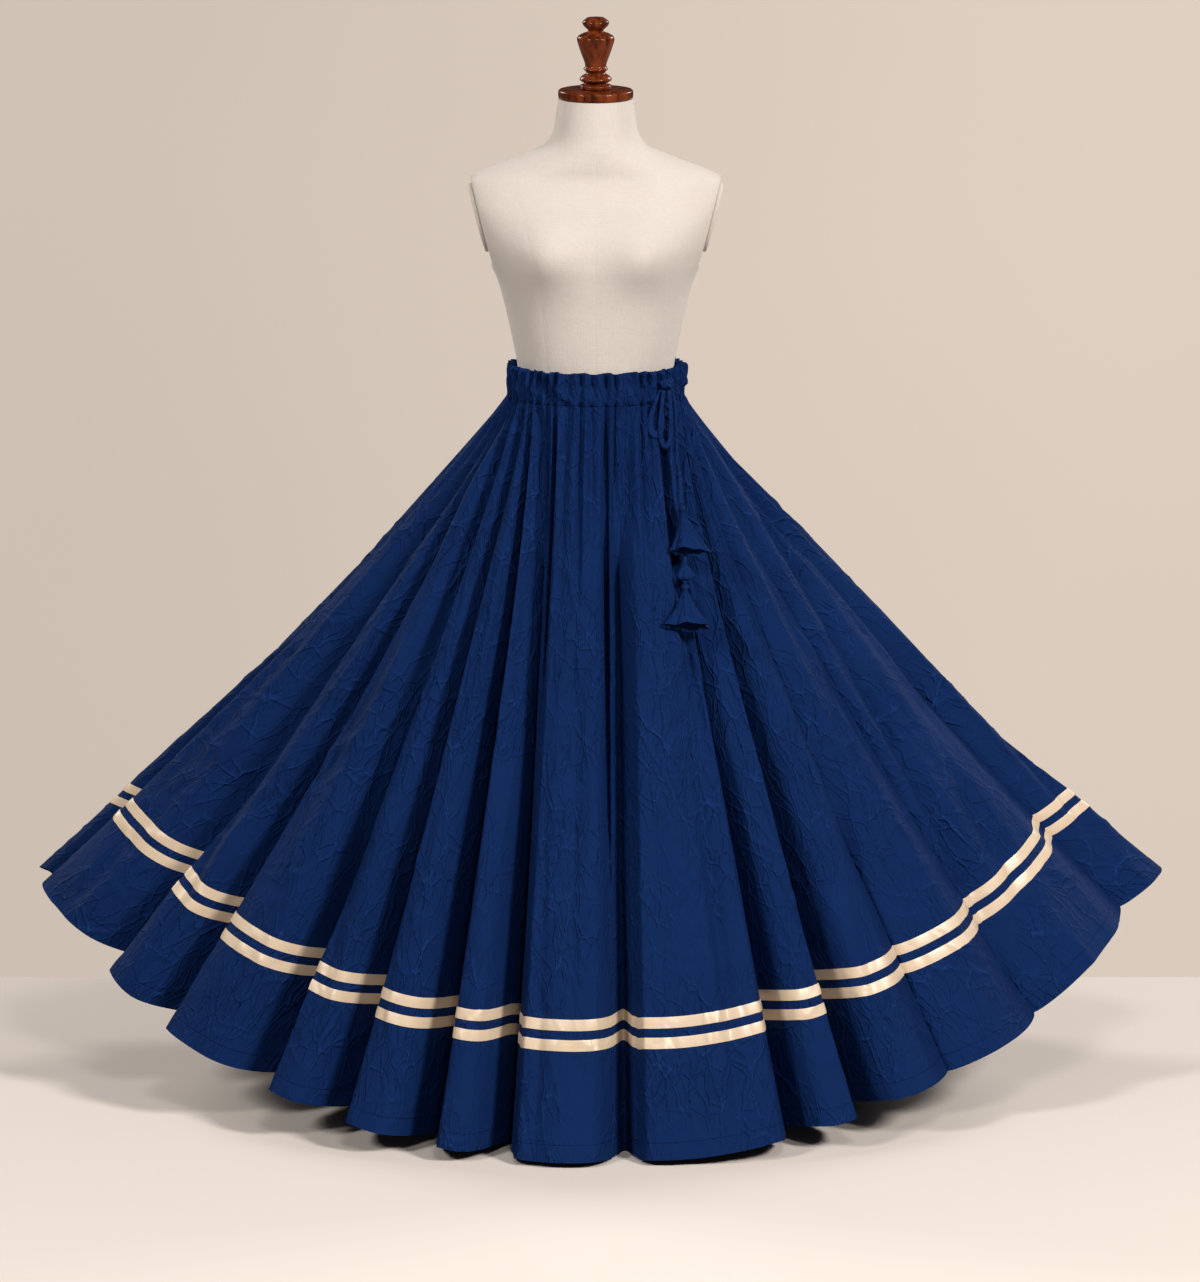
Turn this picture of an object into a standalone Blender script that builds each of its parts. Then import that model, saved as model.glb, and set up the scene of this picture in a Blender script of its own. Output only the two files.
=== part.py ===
"""Full maxi skirt of 23 gores with a gathered drawstring casing, two ribbon bands and a tasselled drawstring, worn on
a limbless dress form that stands on a pole and a round base. Metres, +Z up, the front faces -Y, and the origin is the
centre of the base's underside."""
import math

import bpy
from mathutils import Matrix, Vector

# Skirt: the waist seam is an ellipse, and the hem follows the stations below.
SEAM_Z = 1.0216
WAIST_HALF_WIDTH = 0.1245
WAIST_HALF_DEPTH = 0.0955
CLOTH = 0.0016
SEAM_GAP = 0.0003
SAG = 0.019
FOLD_GROWTH = 0.8
GATHER_HEIGHT = 0.0075
GATHER_RUN = 0.26

# Hem of the right half, seen from the front: angle round the skirt in degrees, then x, y and z of the fold crests.
HEM_STATIONS = (
    # angle, x, y, z
    (0, 0.000, -0.402, 0.008),
    (10, 0.143, -0.388, 0.012),
    (20, 0.282, -0.350, 0.030),
    (27, 0.374, -0.300, 0.047),
    (35, 0.472, -0.235, 0.074),
    (43, 0.562, -0.163, 0.106),
    (51, 0.640, -0.088, 0.142),
    (60, 0.710, 0.000, 0.196),
    (70, 0.771, 0.100, 0.246),
    (84, 0.822, 0.200, 0.287),
    (102, 0.795, 0.295, 0.262),
    (120, 0.700, 0.375, 0.200),
    (140, 0.530, 0.455, 0.130),
    (160, 0.285, 0.515, 0.075),
    (180, 0.000, 0.540, 0.050),
)

# One row for each gore, round from the left front. A gore starts in the valley of a fold and ends in the next one.
# hem and waist are the starting valley's angles; depth is that valley's depth at the hem; rise and fall are the
# shares of the gore's hem that climb out of its first valley and drop into its last one.
GORES = (
    # hem, waist, depth, rise, fall, gathers, columns
    (-60.0, -80.0, 0.027, 0.14, 0.45, 1, 8),
    (-50.0, -74.0, 0.030, 0.14, 0.45, 2, 8),
    (-35.6, -63.0, 0.050, 0.15, 0.50, 1, 8),
    (-26.8, -54.7, 0.043, 0.15, 0.50, 1, 8),
    (-16.9, -46.6, 0.048, 0.17, 0.20, 2, 8),
    (-9.0, -35.0, 0.055, 0.10, 0.35, 7, 28),
    (4.1, 22.0, 0.036, 0.07, 0.12, 4, 16),
    (20.4, 55.0, 0.042, 0.40, 0.16, 2, 8),
    (27.8, 72.0, 0.056, 0.35, 0.30, 1, 8),
    (38.6, 78.0, 0.012, 0.40, 0.40, 1, 6),
    (51.4, 83.0, 0.012, 0.40, 0.35, 1, 6),
    (72.0, 88.0, 0.012, 0.35, 0.35, 1, 6),
    (95.0, 96.0, 0.030, 0.35, 0.30, 2, 8),
    (116.0, 113.0, 0.045, 0.30, 0.45, 2, 8),
    (134.0, 128.0, 0.050, 0.35, 0.25, 2, 8),
    (151.0, 144.0, 0.044, 0.20, 0.45, 2, 8),
    (167.0, 160.0, 0.052, 0.25, 0.35, 2, 8),
    (182.0, 177.0, 0.040, 0.30, 0.30, 2, 8),
    (198.0, 195.0, 0.052, 0.40, 0.20, 2, 8),
    (215.0, 213.0, 0.047, 0.30, 0.40, 2, 8),
    (234.0, 231.0, 0.050, 0.45, 0.25, 2, 8),
    (254.0, 250.0, 0.038, 0.30, 0.40, 2, 8),
    (276.0, 266.0, 0.028, 0.35, 0.40, 2, 8),
)
FULL_TURN = 360.0
ROWS = (0.0, 0.055, 0.18, 0.44, 0.811, 0.853, 1.0)

# Ribbons: name, upper and lower edge as shares of the skirt's length.
RIBBONS = (
    ("ribbon_upper", 0.811, 0.826),
    ("ribbon_lower", 0.838, 0.853),
)
RIBBON_LIFT = 0.0006
RIBBON_THICK = 0.001

# Waist casing: height of each row, outward growth of its crests and depth of its ruffles.
CASING_ROWS = (
    # z, growth, ruffle
    (SEAM_Z + SEAM_GAP, 0.0000, 0.0075),
    (1.0450, 0.0012, 0.0124),
    (1.0675, 0.0004, 0.0114),
)

# Dress form: height, half width, half depth and squareness of each section of the torso.
TORSO = (
    # z, half width, half depth, squareness
    (0.780, 0.1450, 0.1040, 2.1),
    (0.800, 0.1490, 0.1070, 2.1),
    (0.850, 0.1450, 0.1040, 2.1),
    (0.900, 0.1330, 0.0960, 2.0),
    (0.970, 0.1170, 0.0850, 2.0),
    (1.020, 0.1110, 0.0820, 2.0),
    (1.050, 0.1105, 0.0820, 2.0),
    (1.070, 0.1112, 0.0825, 2.0),
    (1.110, 0.1190, 0.0870, 2.1),
    (1.157, 0.1295, 0.0930, 2.2),
    (1.190, 0.1390, 0.0980, 2.3),
    (1.218, 0.1520, 0.1020, 2.3),
    (1.245, 0.1650, 0.1010, 2.3),
    (1.280, 0.1780, 0.0900, 2.3),
    (1.310, 0.1850, 0.0720, 2.3),
    (1.330, 0.1810, 0.0630, 2.2),
    (1.340, 0.1640, 0.0610, 2.1),
    (1.352, 0.1330, 0.0620, 2.0),
    (1.366, 0.0980, 0.0620, 2.0),
    (1.377, 0.0740, 0.0610, 2.0),
    (1.394, 0.0610, 0.0580, 2.0),
    (1.4265, 0.0550, 0.0540, 2.0),
    (1.4434, 0.0525, 0.0525, 2.0),
)
TORSO_SIDES = 36
ARM_TOP = (0.176, 1.333)
ARM_SLOPE = 0.26
ARM_LOW_Z = 1.212
BUST_REACH = 0.018
BUST_X = 0.068
BUST_Z = 1.232
BUST_WIDTH = 0.042
BUST_HEIGHT = 0.045

# Armhole plates: oval pads on the torso's flat arm cuts.
PLATE_Z = 1.276
PLATE_HALF_HEIGHT = 0.050
PLATE_HALF_DEPTH = 0.036
PLATE_THICK = 0.006

# Turned wood, as radius and height of each ridge and hollow.
DISC = ((0.0500, 1.4437), (0.0527, 1.4460), (0.0527, 1.4540), (0.0500, 1.4565))
FINIAL = (
    (0.0205, 1.4568),
    (0.0220, 1.4585),
    (0.0220, 1.4625),
    (0.0160, 1.4650),
    (0.0225, 1.4700),
    (0.0200, 1.4750),
    (0.0133, 1.4800),
    (0.0173, 1.4855),
    (0.0149, 1.4915),
    (0.0225, 1.5130),
    (0.0263, 1.5285),
    (0.0200, 1.5345),
    (0.0107, 1.5390),
    (0.0170, 1.5460),
    (0.0185, 1.5520),
    (0.0120, 1.5575),
)
TURNED_SIDES = 20

# Stand.
BASE = ((0.1880, 0.0), (0.1900, 0.0040), (0.1900, 0.0130), (0.1840, 0.0180))
BASE_SIDES = 32
POLE_RADIUS = 0.0125
POLE_SIDES = 16

# Drawstring: the knot lies on the casing, and the loops and ends hang from its underside.
CORD_RADIUS = 0.002
CORD_STEP = 0.0115
KNOT_CENTRE = (0.0990, -0.0690, 1.0485)
KNOT_RADII = (0.0090, 0.0080, 0.0085)
CORDS = (
    ("bow_loop_left", (
        (0.0916, -0.0693, 1.0417), (0.0830, -0.0755, 1.0200), (0.0765, -0.0785, 0.9985), (0.0785, -0.0825, 0.9840),
        (0.0862, -0.0850, 0.9805), (0.0919, -0.0775, 0.9890), (0.0940, -0.0700, 1.0100), (0.0951, -0.0635, 1.0414),
    )),
    ("bow_loop_right", (
        (0.0955, -0.0754, 1.0417), (0.0925, -0.0815, 1.0200), (0.0905, -0.0850, 0.9950), (0.0925, -0.0858, 0.9720),
        (0.0985, -0.0852, 0.9625), (0.1045, -0.0825, 0.9720), (0.1055, -0.0800, 0.9950), (0.1045, -0.0775, 1.0200),
        (0.1026, -0.0754, 1.0417),
    )),
    ("drawstring_end_upper", (
        (0.1064, -0.0693, 1.0417), (0.1108, -0.0715, 1.0180), (0.1122, -0.0725, 0.9850), (0.1130, -0.0745, 0.9580),
        (0.1170, -0.0800, 0.9220), (0.1200, -0.0957, 0.8840),
    )),
    ("drawstring_end_lower", (
        (0.1029, -0.0632, 1.0415), (0.1050, -0.0668, 1.0180), (0.1045, -0.0710, 0.9850), (0.1055, -0.0779, 0.9550),
        (0.1085, -0.0878, 0.9220), (0.1118, -0.0971, 0.8880), (0.1200, -0.1010, 0.8550), (0.1252, -0.1125, 0.8220),
        (0.1252, -0.1222, 0.8050),
    )),
)

# Tassels: name, top, middle of the foot, half width of the foot, and depth as a share of the width.
TASSELS = (
    ("tassel_upper", (0.1203, -0.0977, 0.8815), (0.1312, -0.1285, 0.8215), 0.0256, 0.36),
    ("tassel_lower", (0.1250, -0.1321, 0.7760), (0.1288, -0.1582, 0.7200), 0.0303, 0.36),
)
BUD = ((0.1252, -0.1261, 0.8030), (0.1256, -0.1318, 0.7765), 0.0114, 0.65)
# Outlines as a share of the foot's half width and of the height from top to foot.
BELL_OUTLINE = (
    (0.13, 0.00), (0.19, 0.07), (0.13, 0.14), (0.42, 0.50), (1.00, 0.98),
    (0.95, 1.00), (0.36, 0.53), (0.08, 0.24),
)
BUD_OUTLINE = ((0.25, 0.00), (0.62, 0.25), (1.00, 0.60), (0.80, 0.74), (0.22, 0.82), (0.20, 1.00))
TASSEL_SIDES = 12

BLUE = (0.013, 0.045, 0.165)
GOLD = (0.78, 0.56, 0.34)
LINEN = (0.80, 0.71, 0.60)
WOOD = (0.085, 0.018, 0.008)
STEEL = (0.42, 0.40, 0.38)


def clear_scene():
    for item in list(bpy.data.objects):
        bpy.data.objects.remove(item, do_unlink=True)


def material(name, colour, roughness, metallic=0.0):
    found = bpy.data.materials.new(name)
    found.use_nodes = True
    surface = found.node_tree.nodes["Principled BSDF"]
    surface.inputs["Base Color"].default_value = (*colour, 1.0)
    surface.inputs["Roughness"].default_value = roughness
    surface.inputs["Metallic"].default_value = metallic
    return found


def add_mesh(name, points, faces, look, smooth=True):
    mesh = bpy.data.meshes.new(name)
    mesh.from_pydata([tuple(point) for point in points], [], faces)
    mesh.materials.append(look)
    if smooth:
        mesh.shade_smooth()
        mesh.set_sharp_from_angle(angle=math.radians(40))
    piece = bpy.data.objects.new(name, mesh)
    bpy.context.scene.collection.objects.link(piece)
    return piece


def hem_station(index):
    """A hem station by number round the whole skirt; the left half mirrors the right."""
    last = len(HEM_STATIONS) - 1
    turns, place = divmod(index, 2 * last)
    if place <= last:
        angle, x, y, z = HEM_STATIONS[place]
        return angle + FULL_TURN * turns, Vector((x, y, z))
    angle, x, y, z = HEM_STATIONS[2 * last - place]
    return FULL_TURN - angle + FULL_TURN * turns, Vector((-x, y, z))


def hem_point(angle):
    """Fold crest at the hem, on a smooth curve through the stations."""
    index = -len(HEM_STATIONS)
    while hem_station(index + 1)[0] <= angle:
        index += 1
    (a0, p0), (a1, p1), (a2, p2), (a3, p3) = [hem_station(index + step) for step in (-1, 0, 1, 2)]
    share = (angle - a1) / (a2 - a1)
    start = (p2 - p0) * ((a2 - a1) / (a2 - a0))
    end = (p3 - p1) * ((a2 - a1) / (a3 - a1))
    square = share * share
    cube = square * share
    return (p1 * (2 * cube - 3 * square + 1) + start * (cube - 2 * square + share)
            + p2 * (3 * square - 2 * cube) + end * (cube - square))


def waist_point(angle):
    turn = math.radians(angle)
    return Vector((WAIST_HALF_WIDTH * math.sin(turn), -WAIST_HALF_DEPTH * math.cos(turn), SEAM_Z))


def gore_ends(number):
    """Hem angle, waist angle and depth of a gore's first and last valley."""
    first = GORES[number % len(GORES)]
    last = GORES[(number + 1) % len(GORES)]
    turn = FULL_TURN if number % len(GORES) == len(GORES) - 1 else 0.0
    return (first[0], first[1], first[2]), (last[0] + turn, last[1] + turn, last[2])


def flank(distance, width):
    """One in the valley, none beyond the flank."""
    if distance >= width:
        return 0.0
    return 0.5 + 0.5 * math.cos(math.pi * distance / width)


def fold_depth(number, share):
    """Depth of the cloth behind the fold crests at the hem, at a share of the gore's hem."""
    start, end = gore_ends(number)
    rise, fall = GORES[number % len(GORES)][3:5]
    return start[2] * flank(share, rise) + end[2] * flank(1.0 - share, fall)


def even_shares(number, columns, steps=96):
    """Shares of the gore's hem between columns that have equal widths of cloth."""
    start, end = gore_ends(number)
    run = (hem_point(end[0]) - hem_point(start[0])).length
    total = [0.0]
    for step in range(steps):
        drop = fold_depth(number, (step + 1) / steps) - fold_depth(number, step / steps)
        total.append(total[-1] + math.hypot(run / steps, drop))
    shares = []
    step = 0
    for column in range(columns + 1):
        wanted = total[-1] * column / columns
        while step < steps - 1 and total[step + 1] < wanted:
            step += 1
        part = (wanted - total[step]) / (total[step + 1] - total[step])
        shares.append((step + part) / steps)
    shares[-1] = 1.0
    return shares


def crest_surface(hem_angle, waist_angle, down):
    """Smooth surface that the fold crests touch, from waist seam to hem."""
    top = waist_point(waist_angle)
    return top.lerp(hem_point(hem_angle), down)


def skirt_point(number, share, cloth, down):
    """Point on the outside of the skirt. share is along the hem and cloth along the gore's own width."""
    start, end = gore_ends(number)
    gathers = GORES[number % len(GORES)][5]
    hem_angle = start[0] + (end[0] - start[0]) * share
    waist_angle = start[1] + (end[1] - start[1]) * cloth
    hem_step = 1.5
    waist_step = 4.0
    before = crest_surface(hem_angle - hem_step, waist_angle - waist_step, down)
    after = crest_surface(hem_angle + hem_step, waist_angle + waist_step, down)
    fall = hem_point(hem_angle) - waist_point(waist_angle)
    outward = fall.cross(after - before).normalized()
    inward = fold_depth(number, share) * down ** FOLD_GROWTH + SAG * 4.0 * down * (1.0 - down)
    fade = max(0.0, 1.0 - down / GATHER_RUN) ** 1.5
    inward += GATHER_HEIGHT * fade * (0.5 + 0.5 * math.cos(2.0 * math.pi * gathers * cloth))
    return crest_surface(hem_angle, waist_angle, down) - outward * inward


def gore_grid(number):
    """Columns of outside points of one gore."""
    columns = GORES[number % len(GORES)][6]
    shares = even_shares(number, columns)
    return [[skirt_point(number, share, column / columns, down) for down in ROWS]
            for column, share in enumerate(shares)]


def ring_grid():
    """All gores' columns round the skirt, each valley once."""
    ring = []
    for number in range(len(GORES)):
        ring.extend(gore_grid(number)[:-1])
    return ring


def column_normals(ring):
    """Outward direction at each point of the ring's columns."""
    count = len(ring)
    rows = len(ring[0])
    found = []
    for column in range(count):
        line = []
        for row in range(rows):
            along = ring[(column + 1) % count][row] - ring[column - 1][row]
            down = ring[column][min(row + 1, rows - 1)] - ring[column][max(row - 1, 0)]
            line.append(down.cross(along).normalized())
        found.append(line)
    return found


def wall(name, outer, inner, look, closed):
    """Solid cloth between two grids of columns, as a strip or as a closed ring."""
    rows = len(outer[0])
    count = len(outer)
    points = [point for column in outer for point in column] + [point for column in inner for point in column]
    back = count * rows
    faces = []
    spans = count if closed else count - 1
    for column in range(spans):
        here = column * rows
        there = ((column + 1) % count) * rows
        for row in range(rows - 1):
            faces.append((here + row, here + row + 1, there + row + 1, there + row))
            faces.append((back + here + row, back + there + row, back + there + row + 1, back + here + row + 1))
        low = rows - 1
        faces.append((here, there, back + there, back + here))
        faces.append((here + low, back + here + low, back + there + low, there + low))
    if not closed:
        end = (count - 1) * rows
        for row in range(rows - 1):
            faces.append((row, back + row, back + row + 1, row + 1))
            faces.append((end + row, end + row + 1, back + end + row + 1, back + end + row))
    return add_mesh(name, points, faces, look)


def drawn_in(column, neighbour):
    """A seam column moved half the seam gap into its own gore."""
    return [point + (other - point).normalized() * (0.5 * SEAM_GAP) for point, other in zip(column, neighbour)]


def build_gores(look):
    ring = ring_grid()
    normals = column_normals(ring)
    inside = [[point - normal * CLOTH for point, normal in zip(*pair)] for pair in zip(ring, normals)]
    first = 0
    for number, row in enumerate(GORES):
        columns = [(first + step) % len(ring) for step in range(row[6] + 1)]
        outer = [ring[column] for column in columns]
        inner = [inside[column] for column in columns]
        for side in (outer, inner):
            start = drawn_in(side[0], side[1])
            end = drawn_in(side[-1], side[-2])
            side[0] = start
            side[-1] = end
        wall(f"gore_{number + 1:02d}", outer, inner, look, False)
        first += row[6]
    return ring, normals


def between_rows(column, down):
    """Point of a column at a share of the skirt's length."""
    row = 0
    while row < len(ROWS) - 2 and ROWS[row + 1] < down:
        row += 1
    return column[row].lerp(column[row + 1], (down - ROWS[row]) / (ROWS[row + 1] - ROWS[row]))


def build_ribbons(ring, normals, look):
    for name, upper, lower in RIBBONS:
        inner = []
        outer = []
        for column, directions in zip(ring, normals):
            edge = []
            face = []
            for down in (upper, lower):
                point = between_rows(column, down)
                direction = between_rows(directions, down).normalized()
                edge.append(point + direction * RIBBON_LIFT)
                face.append(point + direction * (RIBBON_LIFT + RIBBON_THICK))
            inner.append(edge)
            outer.append(face)
        wall(name, outer, inner, look, True)


def build_casing(look):
    """Gathered band on the gores' own columns, so that its ruffles run on from the skirt's gathers."""
    ring = []
    for number, row in enumerate(GORES):
        start, end = gore_ends(number)
        for column in range(row[6]):
            cloth = column / row[6]
            angle = start[1] + (end[1] - start[1]) * cloth
            crest = waist_point(angle)
            outward = Vector((crest.x / WAIST_HALF_WIDTH ** 2, crest.y / WAIST_HALF_DEPTH ** 2, 0.0)).normalized()
            wave = 0.5 + 0.5 * math.cos(2.0 * math.pi * row[5] * cloth)
            line = []
            for height, growth, ruffle in reversed(CASING_ROWS):
                point = crest + outward * (growth - ruffle * wave)
                line.append(Vector((point.x, point.y, height)))
            ring.append(line)
    normals = column_normals(ring)
    inside = [[point - normal * CLOTH for point, normal in zip(*pair)] for pair in zip(ring, normals)]
    for pair, line in zip(inside, ring):
        for row in (0, -1):
            pair[row].z = line[row].z
    wall("waist_casing", ring, inside, look, True)


def turned_faces(rings, sides):
    """Faces of a closed round body: a first pole, rings of points and a last pole."""
    faces = []
    top = 1 + sides * (rings - 1)
    last = 1 + sides * rings
    for side in range(sides):
        after = (side + 1) % sides
        faces.append((0, 1 + after, 1 + side))
        faces.append((top + side, top + after, last))
        for ring in range(rings - 1):
            low = 1 + ring * sides
            high = low + sides
            faces.append((low + side, low + after, high + after, high + side))
    return faces


def lathe(name, profile, sides, look):
    """Solid turned about the Z axis from radius and height pairs that run upwards."""
    points = [(0.0, 0.0, profile[0][1])]
    for radius, height in profile:
        for side in range(sides):
            turn = 2.0 * math.pi * side / sides
            points.append((radius * math.cos(turn), radius * math.sin(turn), height))
    points.append((0.0, 0.0, profile[-1][1]))
    return add_mesh(name, points, turned_faces(len(profile), sides), look)


def torso_point(row, side):
    height, half_width, half_depth, squareness = TORSO[row]
    turn = 2.0 * math.pi * side / TORSO_SIDES
    cosine = math.cos(turn)
    sine = math.sin(turn)
    x = half_width * math.copysign(abs(cosine) ** (2.0 / squareness), cosine)
    y = half_depth * math.copysign(abs(sine) ** (2.0 / squareness), sine)
    if y < 0.0:
        across = (abs(x) - BUST_X) / BUST_WIDTH
        up = (height - BUST_Z) / BUST_HEIGHT
        y -= BUST_REACH * math.exp(-across * across - up * up) * min(1.0, -y / 0.05)
    if height >= ARM_LOW_Z:
        limit = ARM_TOP[0] - (ARM_TOP[1] - height) * ARM_SLOPE
        x = max(-limit, min(limit, x))
    return Vector((x, y, height))


def build_torso(look):
    points = [Vector((0.0, 0.0, TORSO[0][0]))]
    for row in range(len(TORSO)):
        points.extend(torso_point(row, side) for side in range(TORSO_SIDES))
    points.append(Vector((0.0, 0.0, TORSO[-1][0])))
    add_mesh("form_torso", points, turned_faces(len(TORSO), TORSO_SIDES), look)


def build_plate(name, direction, look):
    """Oval pad on the arm cut of one side; direction is 1 for +X and -1 for -X."""
    tilt = math.atan(ARM_SLOPE)
    middle_x = ARM_TOP[0] - (ARM_TOP[1] - PLATE_Z) * ARM_SLOPE
    outline = ((0.90, 0.0), (1.0, 0.30), (1.0, 0.70), (0.88, 1.0))
    sides = 20
    points = [Vector((0.0, 0.0, 0.0))]
    for share, height in outline:
        for side in range(sides):
            turn = 2.0 * math.pi * side / sides
            points.append(Vector((PLATE_HALF_HEIGHT * share * math.cos(turn), PLATE_HALF_DEPTH * share * math.sin(turn),
                                  PLATE_THICK * height)))
    points.append(Vector((0.0, 0.0, PLATE_THICK)))
    piece = add_mesh(name, points, turned_faces(len(outline), sides), look)
    normal = Vector((direction * math.cos(tilt), 0.0, -math.sin(tilt)))
    along = Vector((-direction * math.sin(tilt), 0.0, -math.cos(tilt)))
    across = normal.cross(along)
    turned = Matrix((along, across, normal)).transposed().to_4x4()
    origin = Vector((direction * middle_x, 0.0, PLATE_Z)) + normal * SEAM_GAP
    piece.matrix_world = Matrix.Translation(origin) @ turned


def build_knot(look):
    bands = 8
    points = [Vector(KNOT_CENTRE) + Vector((0.0, 0.0, -KNOT_RADII[2]))]
    for band in range(1, bands):
        tilt = math.pi * band / bands
        for side in range(TASSEL_SIDES):
            turn = 2.0 * math.pi * side / TASSEL_SIDES
            offset = Vector((KNOT_RADII[0] * math.sin(tilt) * math.cos(turn),
                             KNOT_RADII[1] * math.sin(tilt) * math.sin(turn), -KNOT_RADII[2] * math.cos(tilt)))
            points.append(Vector(KNOT_CENTRE) + offset)
    points.append(Vector(KNOT_CENTRE) + Vector((0.0, 0.0, KNOT_RADII[2])))
    add_mesh("drawstring_knot", points, turned_faces(bands - 1, TASSEL_SIDES), look)


def smooth_route(route, step):
    """Points at even steps along a smooth curve through a cord's route points."""
    route = [Vector(point) for point in route]
    padded = [route[0] * 2 - route[1]] + route + [route[-1] * 2 - route[-2]]
    fine = []
    parts = 24
    for index in range(len(route) - 1):
        p0, p1, p2, p3 = padded[index:index + 4]
        for part in range(parts):
            share = part / parts
            fine.append(0.5 * (2 * p1 + (p2 - p0) * share + (2 * p0 - 5 * p1 + 4 * p2 - p3) * share ** 2
                               + (3 * p1 - p0 - 3 * p2 + p3) * share ** 3))
    fine.append(route[-1])
    lengths = [0.0]
    for before, after in zip(fine, fine[1:]):
        lengths.append(lengths[-1] + (after - before).length)
    count = max(2, round(lengths[-1] / step))
    found = []
    index = 0
    for number in range(count + 1):
        wanted = lengths[-1] * number / count
        while index < len(fine) - 2 and lengths[index + 1] < wanted:
            index += 1
        part = (wanted - lengths[index]) / (lengths[index + 1] - lengths[index])
        found.append(fine[index].lerp(fine[index + 1], part))
    return found


def build_cord(name, route, look):
    curve = bpy.data.curves.new(name, "CURVE")
    curve.dimensions = "3D"
    curve.bevel_depth = CORD_RADIUS
    curve.bevel_resolution = 2
    curve.use_fill_caps = True
    points = smooth_route(route, CORD_STEP)
    spline = curve.splines.new("POLY")
    spline.points.add(len(points) - 1)
    for target, point in zip(spline.points, points):
        target.co = (*point, 1.0)
    curve.materials.append(look)
    bpy.context.scene.collection.objects.link(bpy.data.objects.new(name, curve))


def build_hanging(name, top, foot, half_width, flatness, outline, look):
    """Tassel or bud turned about the slanting line from top to foot and pressed flat along Y."""
    top = Vector(top)
    foot = Vector(foot)
    points = [top.lerp(foot, outline[0][1])]
    for radius, height in outline:
        centre = top.lerp(foot, height)
        for side in range(TASSEL_SIDES):
            turn = 2.0 * math.pi * side / TASSEL_SIDES
            points.append(centre + Vector((half_width * radius * math.cos(turn),
                                           -half_width * radius * flatness * math.sin(turn), 0.0)))
    points.append(top.lerp(foot, outline[-1][1]))
    add_mesh(name, points, turned_faces(len(outline), TASSEL_SIDES), look)


def main():
    clear_scene()
    cotton = material("blue_cotton", BLUE, 0.75)
    satin = material("gold_satin", GOLD, 0.35)
    linen = material("cream_linen", LINEN, 0.9)
    wood = material("dark_turned_wood", WOOD, 0.25)
    steel = material("satin_steel", STEEL, 0.4, 1.0)
    ring, normals = build_gores(cotton)
    build_ribbons(ring, normals, satin)
    build_casing(cotton)
    build_torso(linen)
    build_plate("armhole_plate_left", -1, linen)
    build_plate("armhole_plate_right", 1, linen)
    build_knot(cotton)
    for name, route in CORDS:
        build_cord(name, route, cotton)
    for name, top, foot, half_width, flatness in TASSELS:
        build_hanging(name, top, foot, half_width, flatness, BELL_OUTLINE, cotton)
    build_hanging("tassel_bud", *BUD, BUD_OUTLINE, cotton)
    lathe("neck_disc", DISC, TURNED_SIDES, wood)
    lathe("finial", FINIAL, TURNED_SIDES, wood)
    lathe("stand_base", BASE, BASE_SIDES, steel)
    pole = ((POLE_RADIUS, BASE[-1][1] + SEAM_GAP), (POLE_RADIUS, TORSO[0][0] - SEAM_GAP))
    lathe("stand_pole", pole, POLE_SIDES, steel)


main()
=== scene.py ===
"""Maxi skirt on a dress form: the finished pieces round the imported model.

Metres, +Z up, the front faces -Y.
"""
import functools
import math
import random

import bpy
import numpy as np
from bpy.props import FloatProperty, FloatVectorProperty, PointerProperty
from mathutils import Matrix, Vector


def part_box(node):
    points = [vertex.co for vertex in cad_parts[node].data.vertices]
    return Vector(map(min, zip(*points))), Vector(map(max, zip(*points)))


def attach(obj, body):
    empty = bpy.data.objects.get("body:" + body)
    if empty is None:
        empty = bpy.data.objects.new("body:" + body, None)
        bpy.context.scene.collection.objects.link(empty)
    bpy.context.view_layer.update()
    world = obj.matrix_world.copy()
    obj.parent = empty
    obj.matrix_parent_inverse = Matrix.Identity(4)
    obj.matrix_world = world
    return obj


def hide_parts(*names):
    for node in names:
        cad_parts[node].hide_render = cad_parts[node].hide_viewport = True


bl_info = {
    "name": "Maxi skirt on a dress form",
    "version": (1, 0, 0),
    "blender": (4, 5, 0),
    "location": "3D View > Sidebar > Skirt",
    "description": "Builds a drawstring maxi skirt, its dress form and its stage round the packed model",
    "category": "Object",
}

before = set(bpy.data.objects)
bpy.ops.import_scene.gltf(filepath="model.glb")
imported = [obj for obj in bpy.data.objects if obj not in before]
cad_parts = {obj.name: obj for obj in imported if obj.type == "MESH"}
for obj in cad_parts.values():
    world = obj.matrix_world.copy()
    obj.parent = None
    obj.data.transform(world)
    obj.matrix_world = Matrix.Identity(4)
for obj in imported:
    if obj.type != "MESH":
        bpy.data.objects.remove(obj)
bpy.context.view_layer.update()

# Camera: the photograph's height in pixels, and the camera's own place and lens.
PHOTO_HEIGHT = 1282
CAMERA_PLACE = (0.006, -11.76, 3.06)
CAMERA_PITCH = 11.5
CAMERA_FOCAL_PIXELS = 8451
SENSOR = 36.0

# Skirt surface, as in the part's source: waist seam, sag of the panels and how the folds grow.
SEAM_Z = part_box("gore_06")[1][2]
WAIST_HALF_WIDTH = 0.1245
WAIST_HALF_DEPTH = 0.0955
SEAM_GAP = 0.0003
SAG = 0.019
FOLD_GROWTH = 0.8
FULL_TURN = 360.0
HEM_ANGLE_STEP = 1.5
WAIST_ANGLE_STEP = 4.0

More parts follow.
